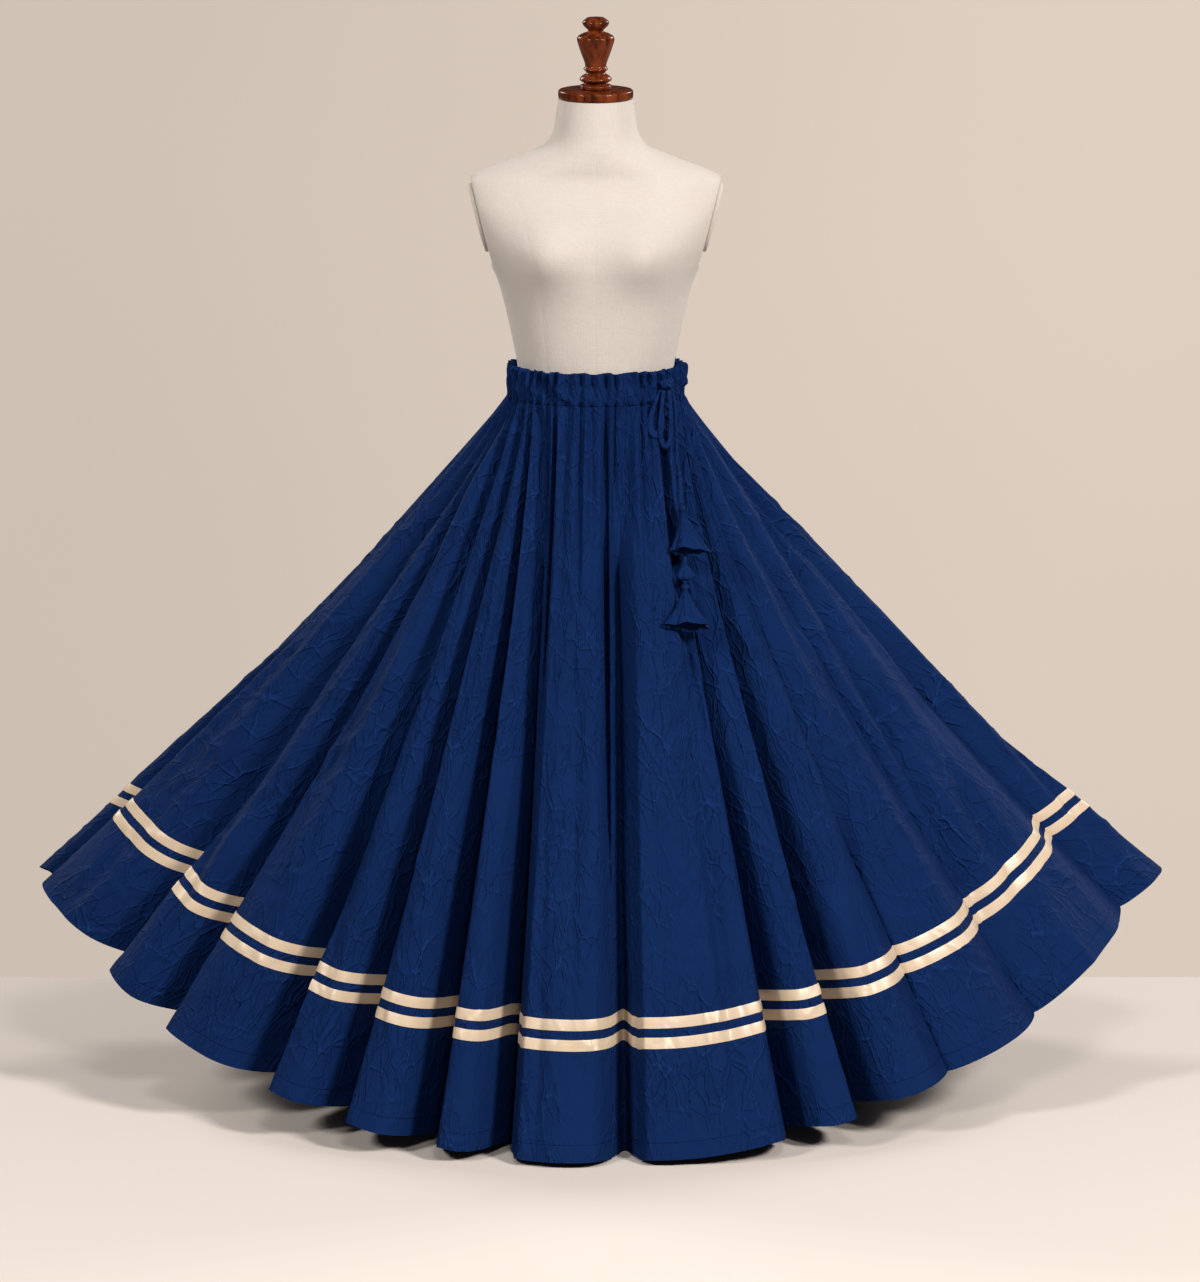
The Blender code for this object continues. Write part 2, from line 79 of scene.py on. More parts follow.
# Hem of the right half, seen from the front: angle round the skirt in degrees, and place of the fold crests.
HEM_STATIONS = (
    # angle, x, y, z
    (0, 0.000, -0.402, 0.008),
    (10, 0.143, -0.388, 0.012),
    (20, 0.282, -0.350, 0.030),
    (27, 0.374, -0.300, 0.047),
    (35, 0.472, -0.235, 0.074),
    (43, 0.562, -0.163, 0.106),
    (51, 0.640, -0.088, 0.142),
    (60, 0.710, 0.000, 0.196),
    (70, 0.771, 0.100, 0.246),
    (84, 0.822, 0.200, 0.287),
    (102, 0.795, 0.295, 0.262),
    (120, 0.700, 0.375, 0.200),
    (140, 0.530, 0.455, 0.130),
    (160, 0.285, 0.515, 0.075),
    (180, 0.000, 0.540, 0.050),
)

# One row for each gore: hem and waist angles and depth of its first valley, the shares of its hem that climb
# out of that valley and drop into the next one, its gathers at the waist, and its columns of cloth.
GORES = (
    # hem, waist, depth, rise, fall, gathers, columns
    (-60.0, -80.0, 0.027, 0.14, 0.45, 1, 40),
    (-50.0, -74.0, 0.030, 0.14, 0.45, 2, 48),
    (-35.6, -63.0, 0.050, 0.15, 0.50, 1, 52),
    (-26.8, -54.7, 0.043, 0.15, 0.50, 1, 56),
    (-16.9, -46.6, 0.048, 0.17, 0.20, 2, 56),
    (-9.0, -35.0, 0.055, 0.10, 0.35, 7, 133),
    (4.1, 22.0, 0.036, 0.07, 0.12, 4, 88),
    (20.4, 55.0, 0.042, 0.40, 0.16, 2, 56),
    (27.8, 72.0, 0.056, 0.35, 0.30, 1, 52),
    (38.6, 78.0, 0.012, 0.40, 0.40, 1, 40),
    (51.4, 83.0, 0.012, 0.40, 0.35, 1, 40),
    (72.0, 88.0, 0.012, 0.35, 0.35, 1, 36),
    (95.0, 96.0, 0.030, 0.35, 0.30, 2, 36),
    (116.0, 113.0, 0.045, 0.30, 0.45, 2, 36),
    (134.0, 128.0, 0.050, 0.35, 0.25, 2, 36),
    (151.0, 144.0, 0.044, 0.20, 0.45, 2, 36),
    (167.0, 160.0, 0.052, 0.25, 0.35, 2, 36),
    (182.0, 177.0, 0.040, 0.30, 0.30, 2, 36),
    (198.0, 195.0, 0.052, 0.40, 0.20, 2, 36),
    (215.0, 213.0, 0.047, 0.30, 0.40, 2, 36),
    (234.0, 231.0, 0.050, 0.45, 0.25, 2, 36),
    (254.0, 250.0, 0.038, 0.30, 0.40, 2, 36),
    (276.0, 266.0, 0.028, 0.35, 0.40, 2, 36),
)
ROWS = 150
# Steps along a gore's hem on which its width of cloth is measured.
FINE_STEPS = 385
LENGTH_OF_SKIRT = 1.065
# Behind each deep fold the cloth goes on into a narrow slit.
SLIT_SHARE = 1.5
SLIT_HALF_WIDTH = 0.013
SLIT_SIDE_ANGLE = 8.0
SLIT_GROWTH = 0.75
SLIT_LEAST_FOLD = 0.02
# Each panel between two valleys is rounded, most at its sides.
PANEL_ROUNDING = 0.024
# The turned-up hem: height over the floor, width of the fold, its stitches and its swell.
HEM_CLEARANCE = 0.003
HEM_FOLD = 0.024
HEM_FOLD_EDGE = 0.0015
STITCH_LENGTH = 0.0028
HEM_FOLD_SWELL = 0.0005
# Small creases: how many to a square metre of cloth, and the strip beside each seam where they fade.
CREASES_TO_AREA = 640
CREASE_FADE = 0.007
# Gap between the cloth and the torso at the waist seam, and its growth below it.
TORSO_GAP = 0.0012
TORSO_GAP_GROWTH = 0.004
# Distance between two gores' places in the cloth coordinates.
GORE_OFFSET = 1.7

# Ribbons: columns across each, and name, upper and lower edge as shares of the skirt's length.
RIBBON_STEPS = 6
RIBBONS = (
    ("ribbon_upper", 0.811, 0.826),
    ("ribbon_lower", 0.838, 0.853),
)

# Waist casing, from the seam up.
CASING_TOP_Z = 1.0675
CASING_ROWS = 26
CASING_FOOT_DEPTH = 0.0075
CASING_TOP_DEPTH = 0.0118
CASING_HEIGHT = 0.05
SEAM_ALLOWANCE = 0.009

# Drawstring: the routes of its loops and ends, as in the part's source.
CORD_STEP = 0.0025
KNOT_CENTRE = (0.0990, -0.0690, 1.0485)
KNOT_RADII = (0.0090, 0.0080, 0.0085)
CORDS = (
    ("bow_loop_left", (
        (0.0916, -0.0693, 1.0417), (0.0830, -0.0755, 1.0200), (0.0765, -0.0785, 0.9985),
        (0.0785, -0.0825, 0.9840), (0.0862, -0.0850, 0.9805), (0.0919, -0.0775, 0.9890),
        (0.0940, -0.0700, 1.0100), (0.0951, -0.0635, 1.0414),
    )),
    ("bow_loop_right", (
        (0.0955, -0.0754, 1.0417), (0.0925, -0.0815, 1.0200), (0.0905, -0.0850, 0.9950),
        (0.0925, -0.0858, 0.9720), (0.0985, -0.0852, 0.9625), (0.1045, -0.0825, 0.9720),
        (0.1055, -0.0800, 0.9950), (0.1045, -0.0775, 1.0200), (0.1026, -0.0754, 1.0417),
    )),
    ("drawstring_end_upper", (
        (0.1064, -0.0693, 1.0417), (0.1108, -0.0715, 1.0180), (0.1122, -0.0725, 0.9850),
        (0.1130, -0.0745, 0.9580), (0.1170, -0.0800, 0.9220), (0.1200, -0.0957, 0.8840),
    )),
    ("drawstring_end_lower", (
        (0.1029, -0.0632, 1.0415), (0.1050, -0.0668, 1.0180), (0.1045, -0.0710, 0.9850),
        (0.1055, -0.0779, 0.9550), (0.1085, -0.0878, 0.9220), (0.1118, -0.0971, 0.8880),
        (0.1200, -0.1010, 0.8550), (0.1252, -0.1125, 0.8220), (0.1252, -0.1222, 0.8050),
    )),
)
CORD_SIDES = 14
# The lower end runs on through the bud to the head of the lower tassel.
BUD_RUN = ((0.1254, -0.1270, 0.7910), (0.1252, -0.1317, 0.7770))

# Tassels: name, top, middle of the foot, half width of the foot, depth as a share of the width, and turn of
# the folds.
TASSELS = (
    ("tassel_upper", (0.1203, -0.0977, 0.8815), (0.1312, -0.1285, 0.8215), 0.0256, 0.36, 0.4),
    ("tassel_lower", (0.1250, -0.1321, 0.7760), (0.1288, -0.1582, 0.7200), 0.0303, 0.36, 1.9),
)
BUD = ((0.1252, -0.1261, 0.8030), (0.1256, -0.1318, 0.7765), 0.0114, 0.65)
BELL_OUTLINE = (
    # share of the foot's half width, share of the height from top to foot
    (0.06, 0.00), (0.13, 0.01), (0.20, 0.06), (0.18, 0.11), (0.12, 0.14), (0.16, 0.20),
    (0.28, 0.36), (0.44, 0.54), (0.62, 0.70), (0.82, 0.86), (0.97, 0.97), (1.00, 1.00),
)
BUD_OUTLINE = (
    (0.10, 0.00), (0.26, 0.02), (0.44, 0.14), (0.66, 0.30), (0.86, 0.46), (0.99, 0.60),
    (0.84, 0.72), (0.46, 0.79), (0.22, 0.84), (0.24, 0.92), (0.21, 1.00),
)

# Dress form: the sections of the torso, as in the part's source.
TORSO = (
    # z, half width, half depth, squareness
    (0.780, 0.1450, 0.1040, 2.1),
    (0.800, 0.1490, 0.1070, 2.1),
    (0.850, 0.1450, 0.1040, 2.1),
    (0.900, 0.1330, 0.0960, 2.0),
    (0.970, 0.1170, 0.0850, 2.0),
    (1.020, 0.1110, 0.0820, 2.0),
    (1.050, 0.1105, 0.0820, 2.0),
    (1.070, 0.1112, 0.0825, 2.0),
    (1.110, 0.1190, 0.0870, 2.1),
    (1.157, 0.1295, 0.0930, 2.2),
    (1.190, 0.1390, 0.0980, 2.3),
    (1.218, 0.1520, 0.1020, 2.3),
    (1.245, 0.1650, 0.1010, 2.3),
    (1.280, 0.1780, 0.0900, 2.3),
    (1.310, 0.1850, 0.0720, 2.3),
    (1.330, 0.1810, 0.0630, 2.2),
    (1.340, 0.1640, 0.0610, 2.1),
    (1.352, 0.1330, 0.0620, 2.0),
    (1.366, 0.0980, 0.0620, 2.0),
    (1.377, 0.0740, 0.0610, 2.0),
    (1.394, 0.0610, 0.0580, 2.0),
    (1.4265, 0.0550, 0.0540, 2.0),
    (1.4434, 0.0525, 0.0525, 2.0),
)
ARM_TOP = (0.176, 1.333)
ARM_SLOPE = 0.26
ARM_LOW_Z = 1.212
BUST_REACH = 0.018
BUST_X = 0.068
BUST_Z = 1.232
BUST_WIDTH = 0.042
BUST_HEIGHT = 0.045
PLATE_Z = 1.276
PLATE_HALF_HEIGHT = 0.050
PLATE_HALF_DEPTH = 0.036
PLATE_THICK = 0.006

# Turned wood and stand, as radius and height of each ridge and hollow.
FINIAL = (
    (0.0205, 1.4568), (0.0220, 1.4585), (0.0220, 1.4625), (0.0160, 1.4650), (0.0225, 1.4700),
    (0.0200, 1.4750), (0.0133, 1.4800), (0.0173, 1.4855), (0.0149, 1.4915), (0.0225, 1.5130),
    (0.0263, 1.5285), (0.0200, 1.5345), (0.0107, 1.5390), (0.0170, 1.5460), (0.0185, 1.5520),
    (0.0120, 1.5575),
)
POLE_RADIUS = 0.0125
DISC_PROFILE = (
    (0.0490, 1.4437), (0.0508, 1.4440), (0.0521, 1.4450), (0.0526, 1.4464), (0.0527, 1.4500),
    (0.0526, 1.4536), (0.0520, 1.4552), (0.0508, 1.4561), (0.0490, 1.4565), (0.0460, 1.4565),
    (0.0455, 1.4562), (0.0445, 1.4562), (0.0440, 1.4565), (0.0240, 1.4565),
)
BASE_PROFILE = (
    (0.1880, 0.0000), (0.1892, 0.0010), (0.1899, 0.0030), (0.1900, 0.0060), (0.1900, 0.0125),
    (0.1897, 0.0143), (0.1888, 0.0157), (0.1872, 0.0166), (0.1850, 0.0170), (0.1500, 0.0172),
    (0.0300, 0.0177), (0.0150, 0.0180),
)


def length_setting(name, description, default, least, most):
    return FloatProperty(
        name=name, description=description, default=default, min=least, max=most, unit="LENGTH")


def colour_setting(name, description, default):
    return FloatVectorProperty(name=name, description=description, default=default, subtype="COLOR")


def power_setting(name, description, default):
    return FloatProperty(name=name, description=description, default=default, unit="POWER")


class SkirtSizes(bpy.types.PropertyGroup):
    cloth_thickness: length_setting("Cloth thickness", "Thickness of the skirt's shell", 0.0010, 0.0005, 0.002)
    gather_depth: length_setting("Gather depth", "Mean depth of the gathers at the waist", 0.0075, 0.0, 0.012)
    crush_depth: length_setting("Crush depth", "Depth of the small creases in the cotton", 0.0017, 0.0, 0.003)
    ribbon_thickness: length_setting("Ribbon thickness", "Thickness of the ribbon", 0.0006, 0.0003, 0.002)
    ribbon_lift: length_setting("Ribbon lift", "Gap between ribbon and cotton", 0.0005, 0.0002, 0.002)
    cord_width: length_setting("Drawstring width", "Width of the folded cotton tie", 0.0054, 0.003, 0.006)


class SkirtColours(bpy.types.PropertyGroup):
    cotton: colour_setting("Cotton", "Blue of the skirt", (0.0066, 0.0232, 0.0990))
    cotton_deep: colour_setting("Cotton shade", "Blue where the dye is fuller", (0.0046, 0.0164, 0.0735))
    ribbon: colour_setting("Ribbon", "Champagne gold of the satin", (0.77, 0.63, 0.47))
    linen: colour_setting("Linen", "Cream cover of the form", (0.66, 0.60, 0.555))
    wood: colour_setting("Wood", "Dark red-brown of the turned wood", (0.100, 0.018, 0.005))
    steel: colour_setting("Steel", "Satin metal of the stand", (0.42, 0.40, 0.38))


class StageSettings(bpy.types.PropertyGroup):
    floor: colour_setting("Floor", "Colour of the floor", (0.87, 0.78, 0.71))
    wall: colour_setting("Wall", "Colour of the backdrop", (0.745, 0.635, 0.540))
    right_power: power_setting("Right light", "Power of the soft light at the right front", 540.0)
    left_power: power_setting("Left light", "Power of the soft light at the left front", 300.0)
    front_power: power_setting("Front light", "Power of the weak light over the camera", 120.0)
    back_power: power_setting("Back lights", "Power of each of the two lights behind", 210.0)
    air: FloatProperty(
        name="Room light", description="Strength of the light from all round", default=0.045, min=0.0)


# Materials

def place(tree, kind, inputs=None, **settings):
    """A node with its settings; inputs holds a value or another node's socket for each input."""
    made = tree.nodes.new(kind)
    for key, value in settings.items():
        setattr(made, key, value)
    for key, value in (inputs or {}).items():
        if isinstance(value, bpy.types.NodeSocket):
            tree.links.new(value, made.inputs[key])
        else:
            made.inputs[key].default_value = value
    return made


def math_node(tree, operation, first, second=0.0):
    return place(tree, "ShaderNodeMath", {0: first, 1: second}, operation=operation).outputs[0]


def object_place(tree):
    return place(tree, "ShaderNodeTexCoord").outputs["Object"]


def cloth_place(tree):
    return place(tree, "ShaderNodeUVMap", uv_map="cloth").outputs[0]


def noise(tree, vector, scale, detail):
    return place(tree, "ShaderNodeTexNoise", {"Vector": vector, "Scale": scale, "Detail": detail}).outputs[0]


def stretched(tree, vector, scale):
    return place(tree, "ShaderNodeMapping", {"Vector": vector, "Scale": scale}).outputs[0]


def remap(tree, value, given=(0.0, 1.0), wanted=(0.0, 1.0), curve="LINEAR"):
    """A value moved from the given range to the wanted one."""
    inputs = {
        "Value": value, "From Min": given[0], "From Max": given[1], "To Min": wanted[0], "To Max": wanted[1],
    }
    return place(tree, "ShaderNodeMapRange", inputs, interpolation_type=curve).outputs[0]


def scaled(colour, share):
    return tuple(channel * share for channel in colour)


def new_group(name, inputs, outputs):
    """A shader node group with its named sockets, its input node and its output node."""
    group = bpy.data.node_groups.new(name, "ShaderNodeTree")
    for label, kind, default in inputs:
        socket = group.interface.new_socket(name=label, in_out="INPUT", socket_type=kind)
        if default is not None:
            socket.default_value = default
    for label, kind in outputs:
        group.interface.new_socket(name=label, in_out="OUTPUT", socket_type=kind)
    return group, group.nodes.new("NodeGroupInput"), group.nodes.new("NodeGroupOutput")


@functools.cache
def weave_group():
    """Plain weave: threads per metre in, height of the threads out."""
    group, given, result = new_group(
        "plain_weave",
        (("Vector", "NodeSocketVector", None), ("Threads", "NodeSocketFloat", 1000.0)),
        (("Height", "NodeSocketFloat"),))
    turns = math_node(group, "MULTIPLY", given.outputs["Threads"], math.pi)
    counted = place(
        group, "ShaderNodeVectorMath", {0: given.outputs["Vector"], "Scale": turns}, operation="SCALE")
    axes = place(group, "ShaderNodeSeparateXYZ", {0: counted.outputs[0]})
    across = math_node(group, "SINE", axes.outputs[0])
    along = math_node(group, "SINE", axes.outputs[1])
    over = math_node(group, "MULTIPLY", across, along)
    group.links.new(math_node(group, "ABSOLUTE", over), result.inputs["Height"])
    return group


@functools.cache
def slub_group():
    """Uneven threads along both axes: thickness of the thicker threads out."""
    group, given, result = new_group(
        "uneven_threads",
        (("Vector", "NodeSocketVector", None), ("Spread", "NodeSocketFloat", 60.0)),
        (("Height", "NodeSocketFloat"),))
    found = []
    for stretch in ((1.0, 9.0, 9.0), (9.0, 9.0, 1.0)):
        pulled = place(
            group, "ShaderNodeVectorMath", {0: given.outputs["Vector"], 1: stretch}, operation="MULTIPLY")
        found.append(noise(group, pulled.outputs[0], given.outputs["Spread"], 3.0))
    group.links.new(math_node(group, "ADD", *found), result.inputs["Height"])
    return group


@functools.cache
def crush_group():
    """Crushed cloth: height of the small wrinkles, and a mask of their worn ridges."""
    group, given, result = new_group(
        "crushed_cloth",
        (("Vector", "NodeSocketVector", None), ("Size", "NodeSocketFloat", 18.0)),
        (("Height", "NodeSocketFloat"), ("Ridges", "NodeSocketFloat")))
    cloth = given.outputs["Vector"]
    bend = place(group, "ShaderNodeTexNoise", {"Vector": cloth, "Scale": 12.0, "Detail": 2.5}).outputs["Color"]
    moved = place(group, "ShaderNodeVectorMath", {0: bend, 1: (0.5, 0.5, 0.5)}, operation="SUBTRACT")
    small = place(group, "ShaderNodeVectorMath", {0: moved.outputs[0], "Scale": 0.035}, operation="SCALE")
    place_on = place(group, "ShaderNodeVectorMath", {0: cloth, 1: small.outputs[0]}, operation="ADD")
    patch = remap(group, noise(group, cloth, 7.0, 1.0), (0.34, 0.58))
    heights = []
    for turn, stretch, share in ((0.30, 2.4, 0.6), (-0.85, 2.8, 1.0), (1.25, 2.2, 1.5)):
        turned = place(group, "ShaderNodeMapping", {
            "Vector": place_on.outputs[0], "Rotation": (0.0, 0.0, turn), "Scale": (stretch, 1.0, 1.0)})
        size = math_node(group, "MULTIPLY", given.outputs["Size"], share)
        cells = place(group, "ShaderNodeTexVoronoi", {"Vector": turned.outputs[0], "Scale": size},
                      voronoi_dimensions="2D", feature="DISTANCE_TO_EDGE")
        line = remap(group, cells.outputs["Distance"], (0.07, 0.0), curve="SMOOTHSTEP")
        swell = math_node(group, "MULTIPLY", cells.outputs["Distance"], -0.8)
        heights.append(math_node(group, "ADD", line, swell))
    total = math_node(group, "ADD", math_node(group, "ADD", heights[0], heights[1]), heights[2])
    total = math_node(group, "MULTIPLY", total, math_node(group, "ADD", patch, 0.2))
    group.links.new(total, result.inputs["Height"])
    group.links.new(remap(group, total, (0.5, 1.6)), result.inputs["Ridges"])
    return group


@functools.cache
def stitch_group():
    """Line of small stitches along the cloth, pressed into it between the threads."""
    group, given, result = new_group(
        "hem_stitches",
        (("Vector", "NodeSocketVector", None), ("Line", "NodeSocketFloat", 1.0)),
        (("Height", "NodeSocketFloat"),))
    axes = place(group, "ShaderNodeSeparateXYZ", {0: given.outputs["Vector"]})
    away = math_node(group, "ABSOLUTE", math_node(group, "SUBTRACT", axes.outputs[1], given.outputs["Line"]))
    dip = remap(group, away, (0.0002, 0.0016), curve="SMOOTHSTEP")
    turns = math_node(group, "MULTIPLY", axes.outputs[0], 2.0 * math.pi / STITCH_LENGTH)
    beat = math_node(group, "SINE", turns)
    raised = math_node(group, "MULTIPLY", math_node(group, "MAXIMUM", beat, 0.0), 0.5)
    group.links.new(math_node(group, "MAXIMUM", dip, raised), result.inputs["Height"])
    return group


def use_group(tree, group, inputs):
    return place(tree, "ShaderNodeGroup", inputs, node_tree=group)


def blank_material(name, shader_values):
    """A material with only its surface shader, and that shader."""
    made = bpy.data.materials.new(name)
    made.use_nodes = True
    surface = made.node_tree.nodes["Principled BSDF"]
    for key, value in shader_values.items():
        surface.inputs[key].default_value = value
    return made, made.node_tree, surface


def colour_mix(tree, amount, first, second):
    mix = place(tree, "ShaderNodeMix", data_type="RGBA")
    for socket, value in (("Factor_Float", amount), ("A_Color", first), ("B_Color", second)):
        target = next(item for item in mix.inputs if item.identifier == socket)
        if isinstance(value, bpy.types.NodeSocket):
            tree.links.new(value, target)
        elif socket == "Factor_Float":
            target.default_value = value
        else:
            target.default_value = (*value, 1.0)
    return next(item for item in mix.outputs if item.identifier == "Result_Color")


def bump(tree, surface, layers):
    """Bump nodes one on the other: height, depth in metres and strength of each."""
    normal = None
    for height, depth, strength in layers:
        inputs = {"Height": height, "Distance": depth, "Strength": strength}
        if normal is not None:
            inputs["Normal"] = normal
        normal = place(tree, "ShaderNodeBump", inputs).outputs[0]
    tree.links.new(normal, surface.inputs["Normal"])


@functools.cache
def cotton_material():
    colours = bpy.context.scene.skirt_colours
    made, tree, surface = blank_material("blue_crushed_cotton", {
        "Sheen Weight": 0.025, "Sheen Roughness": 0.45, "Sheen Tint": (0.12, 0.34, 1.0, 1.0),
        "Specular IOR Level": 0.08, "Specular Tint": (0.14, 0.38, 1.0, 1.0)})
    cloth = cloth_place(tree)
    shade = colour_mix(tree, noise(tree, cloth, 5.0, 3.0), tuple(colours.cotton_deep), tuple(colours.cotton))
    crush = use_group(tree, crush_group(), {"Vector": cloth, "Size": 13.0})
    fine = use_group(tree, crush_group(), {"Vector": cloth, "Size": 34.0})
    worn = math_node(tree, "MULTIPLY", crush.outputs["Ridges"], 0.35)
    tree.links.new(colour_mix(tree, worn, shade, scaled(colours.cotton, 1.9)), surface.inputs["Base Color"])
    tree.links.new(remap(tree, fine.outputs["Ridges"], wanted=(0.72, 0.58)), surface.inputs["Roughness"])
    weave = use_group(tree, weave_group(), {"Vector": cloth, "Threads": 1400.0})
    stitched = use_group(tree, stitch_group(), {"Vector": cloth, "Line": LENGTH_OF_SKIRT - HEM_FOLD})
    bump(tree, surface, (
        (stitched.outputs["Height"], 0.0009, 1.0),
        (crush.outputs["Height"], 0.0014, 0.85),
        (fine.outputs["Height"], 0.00036, 0.75),
        (weave.outputs["Height"], 0.0001, 0.25)))
    return made


@functools.cache
def ribbon_material():
    colours = bpy.context.scene.skirt_colours
    made, tree, surface = blank_material("gold_satin_ribbon", {
        "Sheen Weight": 0.15, "Sheen Roughness": 0.35, "Anisotropic": 0.5, "Specular IOR Level": 0.6,
        "Metallic": 0.0})
    cloth = cloth_place(tree)
    threads = noise(tree, stretched(tree, cloth, (6.0, 420.0, 1.0)), 1.0, 3.0)
    soft = noise(tree, cloth, 14.0, 2.0)
    tone = math_node(tree, "MULTIPLY", math_node(tree, "ADD", threads, soft), 0.5)
    deep = (colours.ribbon[0] * 0.80, colours.ribbon[1] * 0.70, colours.ribbon[2] * 0.62)
    tree.links.new(colour_mix(tree, tone, deep, tuple(colours.ribbon)), surface.inputs["Base Color"])
    tree.links.new(remap(tree, threads, wanted=(0.30, 0.46)), surface.inputs["Roughness"])
    bump(tree, surface, ((threads, 0.00025, 0.5), (soft, 0.0012, 0.35)))
    return made


@functools.cache
def linen_material():
    colours = bpy.context.scene.skirt_colours
    made, tree, surface = blank_material("cream_linen", {
        "Sheen Weight": 0.12, "Sheen Roughness": 0.6, "Specular IOR Level": 0.3, "Roughness": 0.9})
    place_on = object_place(tree)
    slubs = use_group(tree, slub_group(), {"Vector": place_on, "Spread": 55.0})
    patchy = noise(tree, place_on, 16.0, 3.0)
    tone = math_node(tree, "MULTIPLY", math_node(tree, "ADD", slubs.outputs[0], patchy), 0.34)
    deep = tuple(channel * share for channel, share in zip(colours.linen, (0.80, 0.77, 0.72)))
    cover = colour_mix(tree, tone, deep, tuple(min(1.0, channel * 1.08) for channel in colours.linen))
    weave = use_group(tree, weave_group(), {"Vector": place_on, "Threads": 900.0})
    # Along the seams the linen's colour is painted darker: painted shade in the seam grooves, beside the
    # grooves' bump.
    away = place(tree, "ShaderNodeAttribute", attribute_name="from_seam").outputs["Fac"]
    seam = remap(tree, away, (0.0004, 0.0016), curve="SMOOTHSTEP")
    tree.links.new(colour_mix(tree, seam, scaled(colours.linen, 0.93), cover), surface.inputs["Base Color"])
    bump(tree, surface, (
        (seam, 0.0004, 0.35),
        (patchy, 0.0012, 0.25),
        (slubs.outputs[0], 0.0005, 0.5),
        (weave.outputs[0], 0.00015, 0.3)))
    return made


@functools.cache
def wood_material():
    colours = bpy.context.scene.skirt_colours
    made, tree, surface = blank_material("dark_turned_wood", {
        "Coat Weight": 0.14, "Coat Roughness": 0.06, "Specular IOR Level": 0.1})
    place_on = object_place(tree)
    pulled = stretched(tree, place_on, (60.0, 60.0, 9.0))
    grain = place(tree, "ShaderNodeTexNoise",
                  {"Vector": pulled, "Scale": 1.6, "Detail": 5.0, "Distortion": 0.8}).outputs[0]
    streak = remap(tree, grain, (0.35, 0.68))
    warm = (colours.wood[0] * 1.9, colours.wood[1] * 2.0, colours.wood[2] * 1.9)
    tree.links.new(colour_mix(tree, streak, scaled(colours.wood, 0.35), warm), surface.inputs["Base Color"])
    tree.links.new(remap(tree, grain, wanted=(0.38, 0.22)), surface.inputs["Roughness"])
    bump(tree, surface, ((grain, 0.0003, 0.25),))
    return made


@functools.cache
def steel_material():
    colours = bpy.context.scene.skirt_colours
    made, tree, surface = blank_material("satin_steel", {"Metallic": 1.0})
    place_on = object_place(tree)
    lines = noise(tree, stretched(tree, place_on, (40.0, 40.0, 900.0)), 1.0, 4.0)
    wear = noise(tree, place_on, 22.0, 4.0)
    shade = colour_mix(tree, wear, scaled(colours.steel, 0.7), tuple(colours.steel))
    tree.links.new(shade, surface.inputs["Base Color"])
    tree.links.new(remap(tree, wear, wanted=(0.30, 0.48)), surface.inputs["Roughness"])
    bump(tree, surface, ((lines, 0.0001, 0.3),))
    return made


# Skirt surface

def hem_stations_round():
    """Angle, x, y and z of the hem's stations over three turns; the left half mirrors the right."""
    right = np.array(HEM_STATIONS, float)
    left = right[-2:0:-1] * (-1.0, -1.0, 1.0, 1.0) + (FULL_TURN, 0.0, 0.0, 0.0)
    turn = np.vstack((right, left))
    return np.vstack([turn + (FULL_TURN * count, 0.0, 0.0, 0.0) for count in (-1, 0, 1)])


STATIONS = hem_stations_round()


def curve_between(p1, p2, start, end, share):
    """Points of a smooth curve from p1 to p2 that leaves with one direction and arrives with the other."""
    square, cube = share ** 2, share ** 3
    return (p1 * (2 * cube - 3 * square + 1) + start * (cube - 2 * square + share)
            + p2 * (3 * square - 2 * cube) + end * (cube - square))


def hem_crests(angles):
    """Fold crests at the hem, on a smooth curve through the stations."""
    index = np.searchsorted(STATIONS[:, 0], angles, side="right") - 1
    a0, a1, a2, a3 = (STATIONS[index + step, 0:1] for step in (-1, 0, 1, 2))
    p0, p1, p2, p3 = (STATIONS[index + step, 1:] for step in (-1, 0, 1, 2))
    share = (np.asarray(angles)[:, None] - a1) / (a2 - a1)
    start = (p2 - p0) * (a2 - a1) / (a2 - a0)
    end = (p3 - p1) * (a2 - a1) / (a3 - a1)
    return curve_between(p1, p2, start, end, share)


def waist_crests(angles):
    turn = np.radians(angles)
    return np.stack((WAIST_HALF_WIDTH * np.sin(turn), -WAIST_HALF_DEPTH * np.cos(turn),
                     np.full(len(turn), SEAM_Z)), axis=1)


def gore_ends(number):
    """Hem angle, waist angle and depth of a gore's first and last valley."""
    first = GORES[number]
    last = GORES[(number + 1) % len(GORES)]
    turn = FULL_TURN if number == len(GORES) - 1 else 0.0
    return (first[0], first[1], first[2]), (last[0] + turn, last[1] + turn, last[2])


def flank(distance, width):
    """One in the valley, none beyond the flank."""
    return np.where(distance < width, 0.5 + 0.5 * np.cos(np.pi * distance / width), 0.0)


def fold_depths(number, shares):
    """Depth of the cloth behind the fold crests at the hem, at shares of the gore's hem."""
    start, end = gore_ends(number)
    rise, fall = GORES[number][3:5]
    return start[2] * flank(shares, rise) + end[2] * flank(1.0 - shares, fall)


def slit_depths(number, shares):
    """Further depth of the slits at the gore's two valleys, each on the side away from the front's middle."""
    start, end = gore_ends(number)
    ends = hem_crests(np.array((start[0], end[0])))
    reach = SLIT_HALF_WIDTH / np.linalg.norm(ends[1] - ends[0])
    total = np.zeros(len(shares))
    for valley, distance, at_start in ((start, shares, True), (end, 1.0 - shares, False)):
        angle = (valley[0] + 0.5 * FULL_TURN) % FULL_TURN - 0.5 * FULL_TURN
        if valley[2] > SLIT_LEAST_FOLD and at_start == (angle > SLIT_SIDE_ANGLE):
            far = distance / reach
            total += SLIT_SHARE * valley[2] * far * np.exp(1.0 - far)
    return total


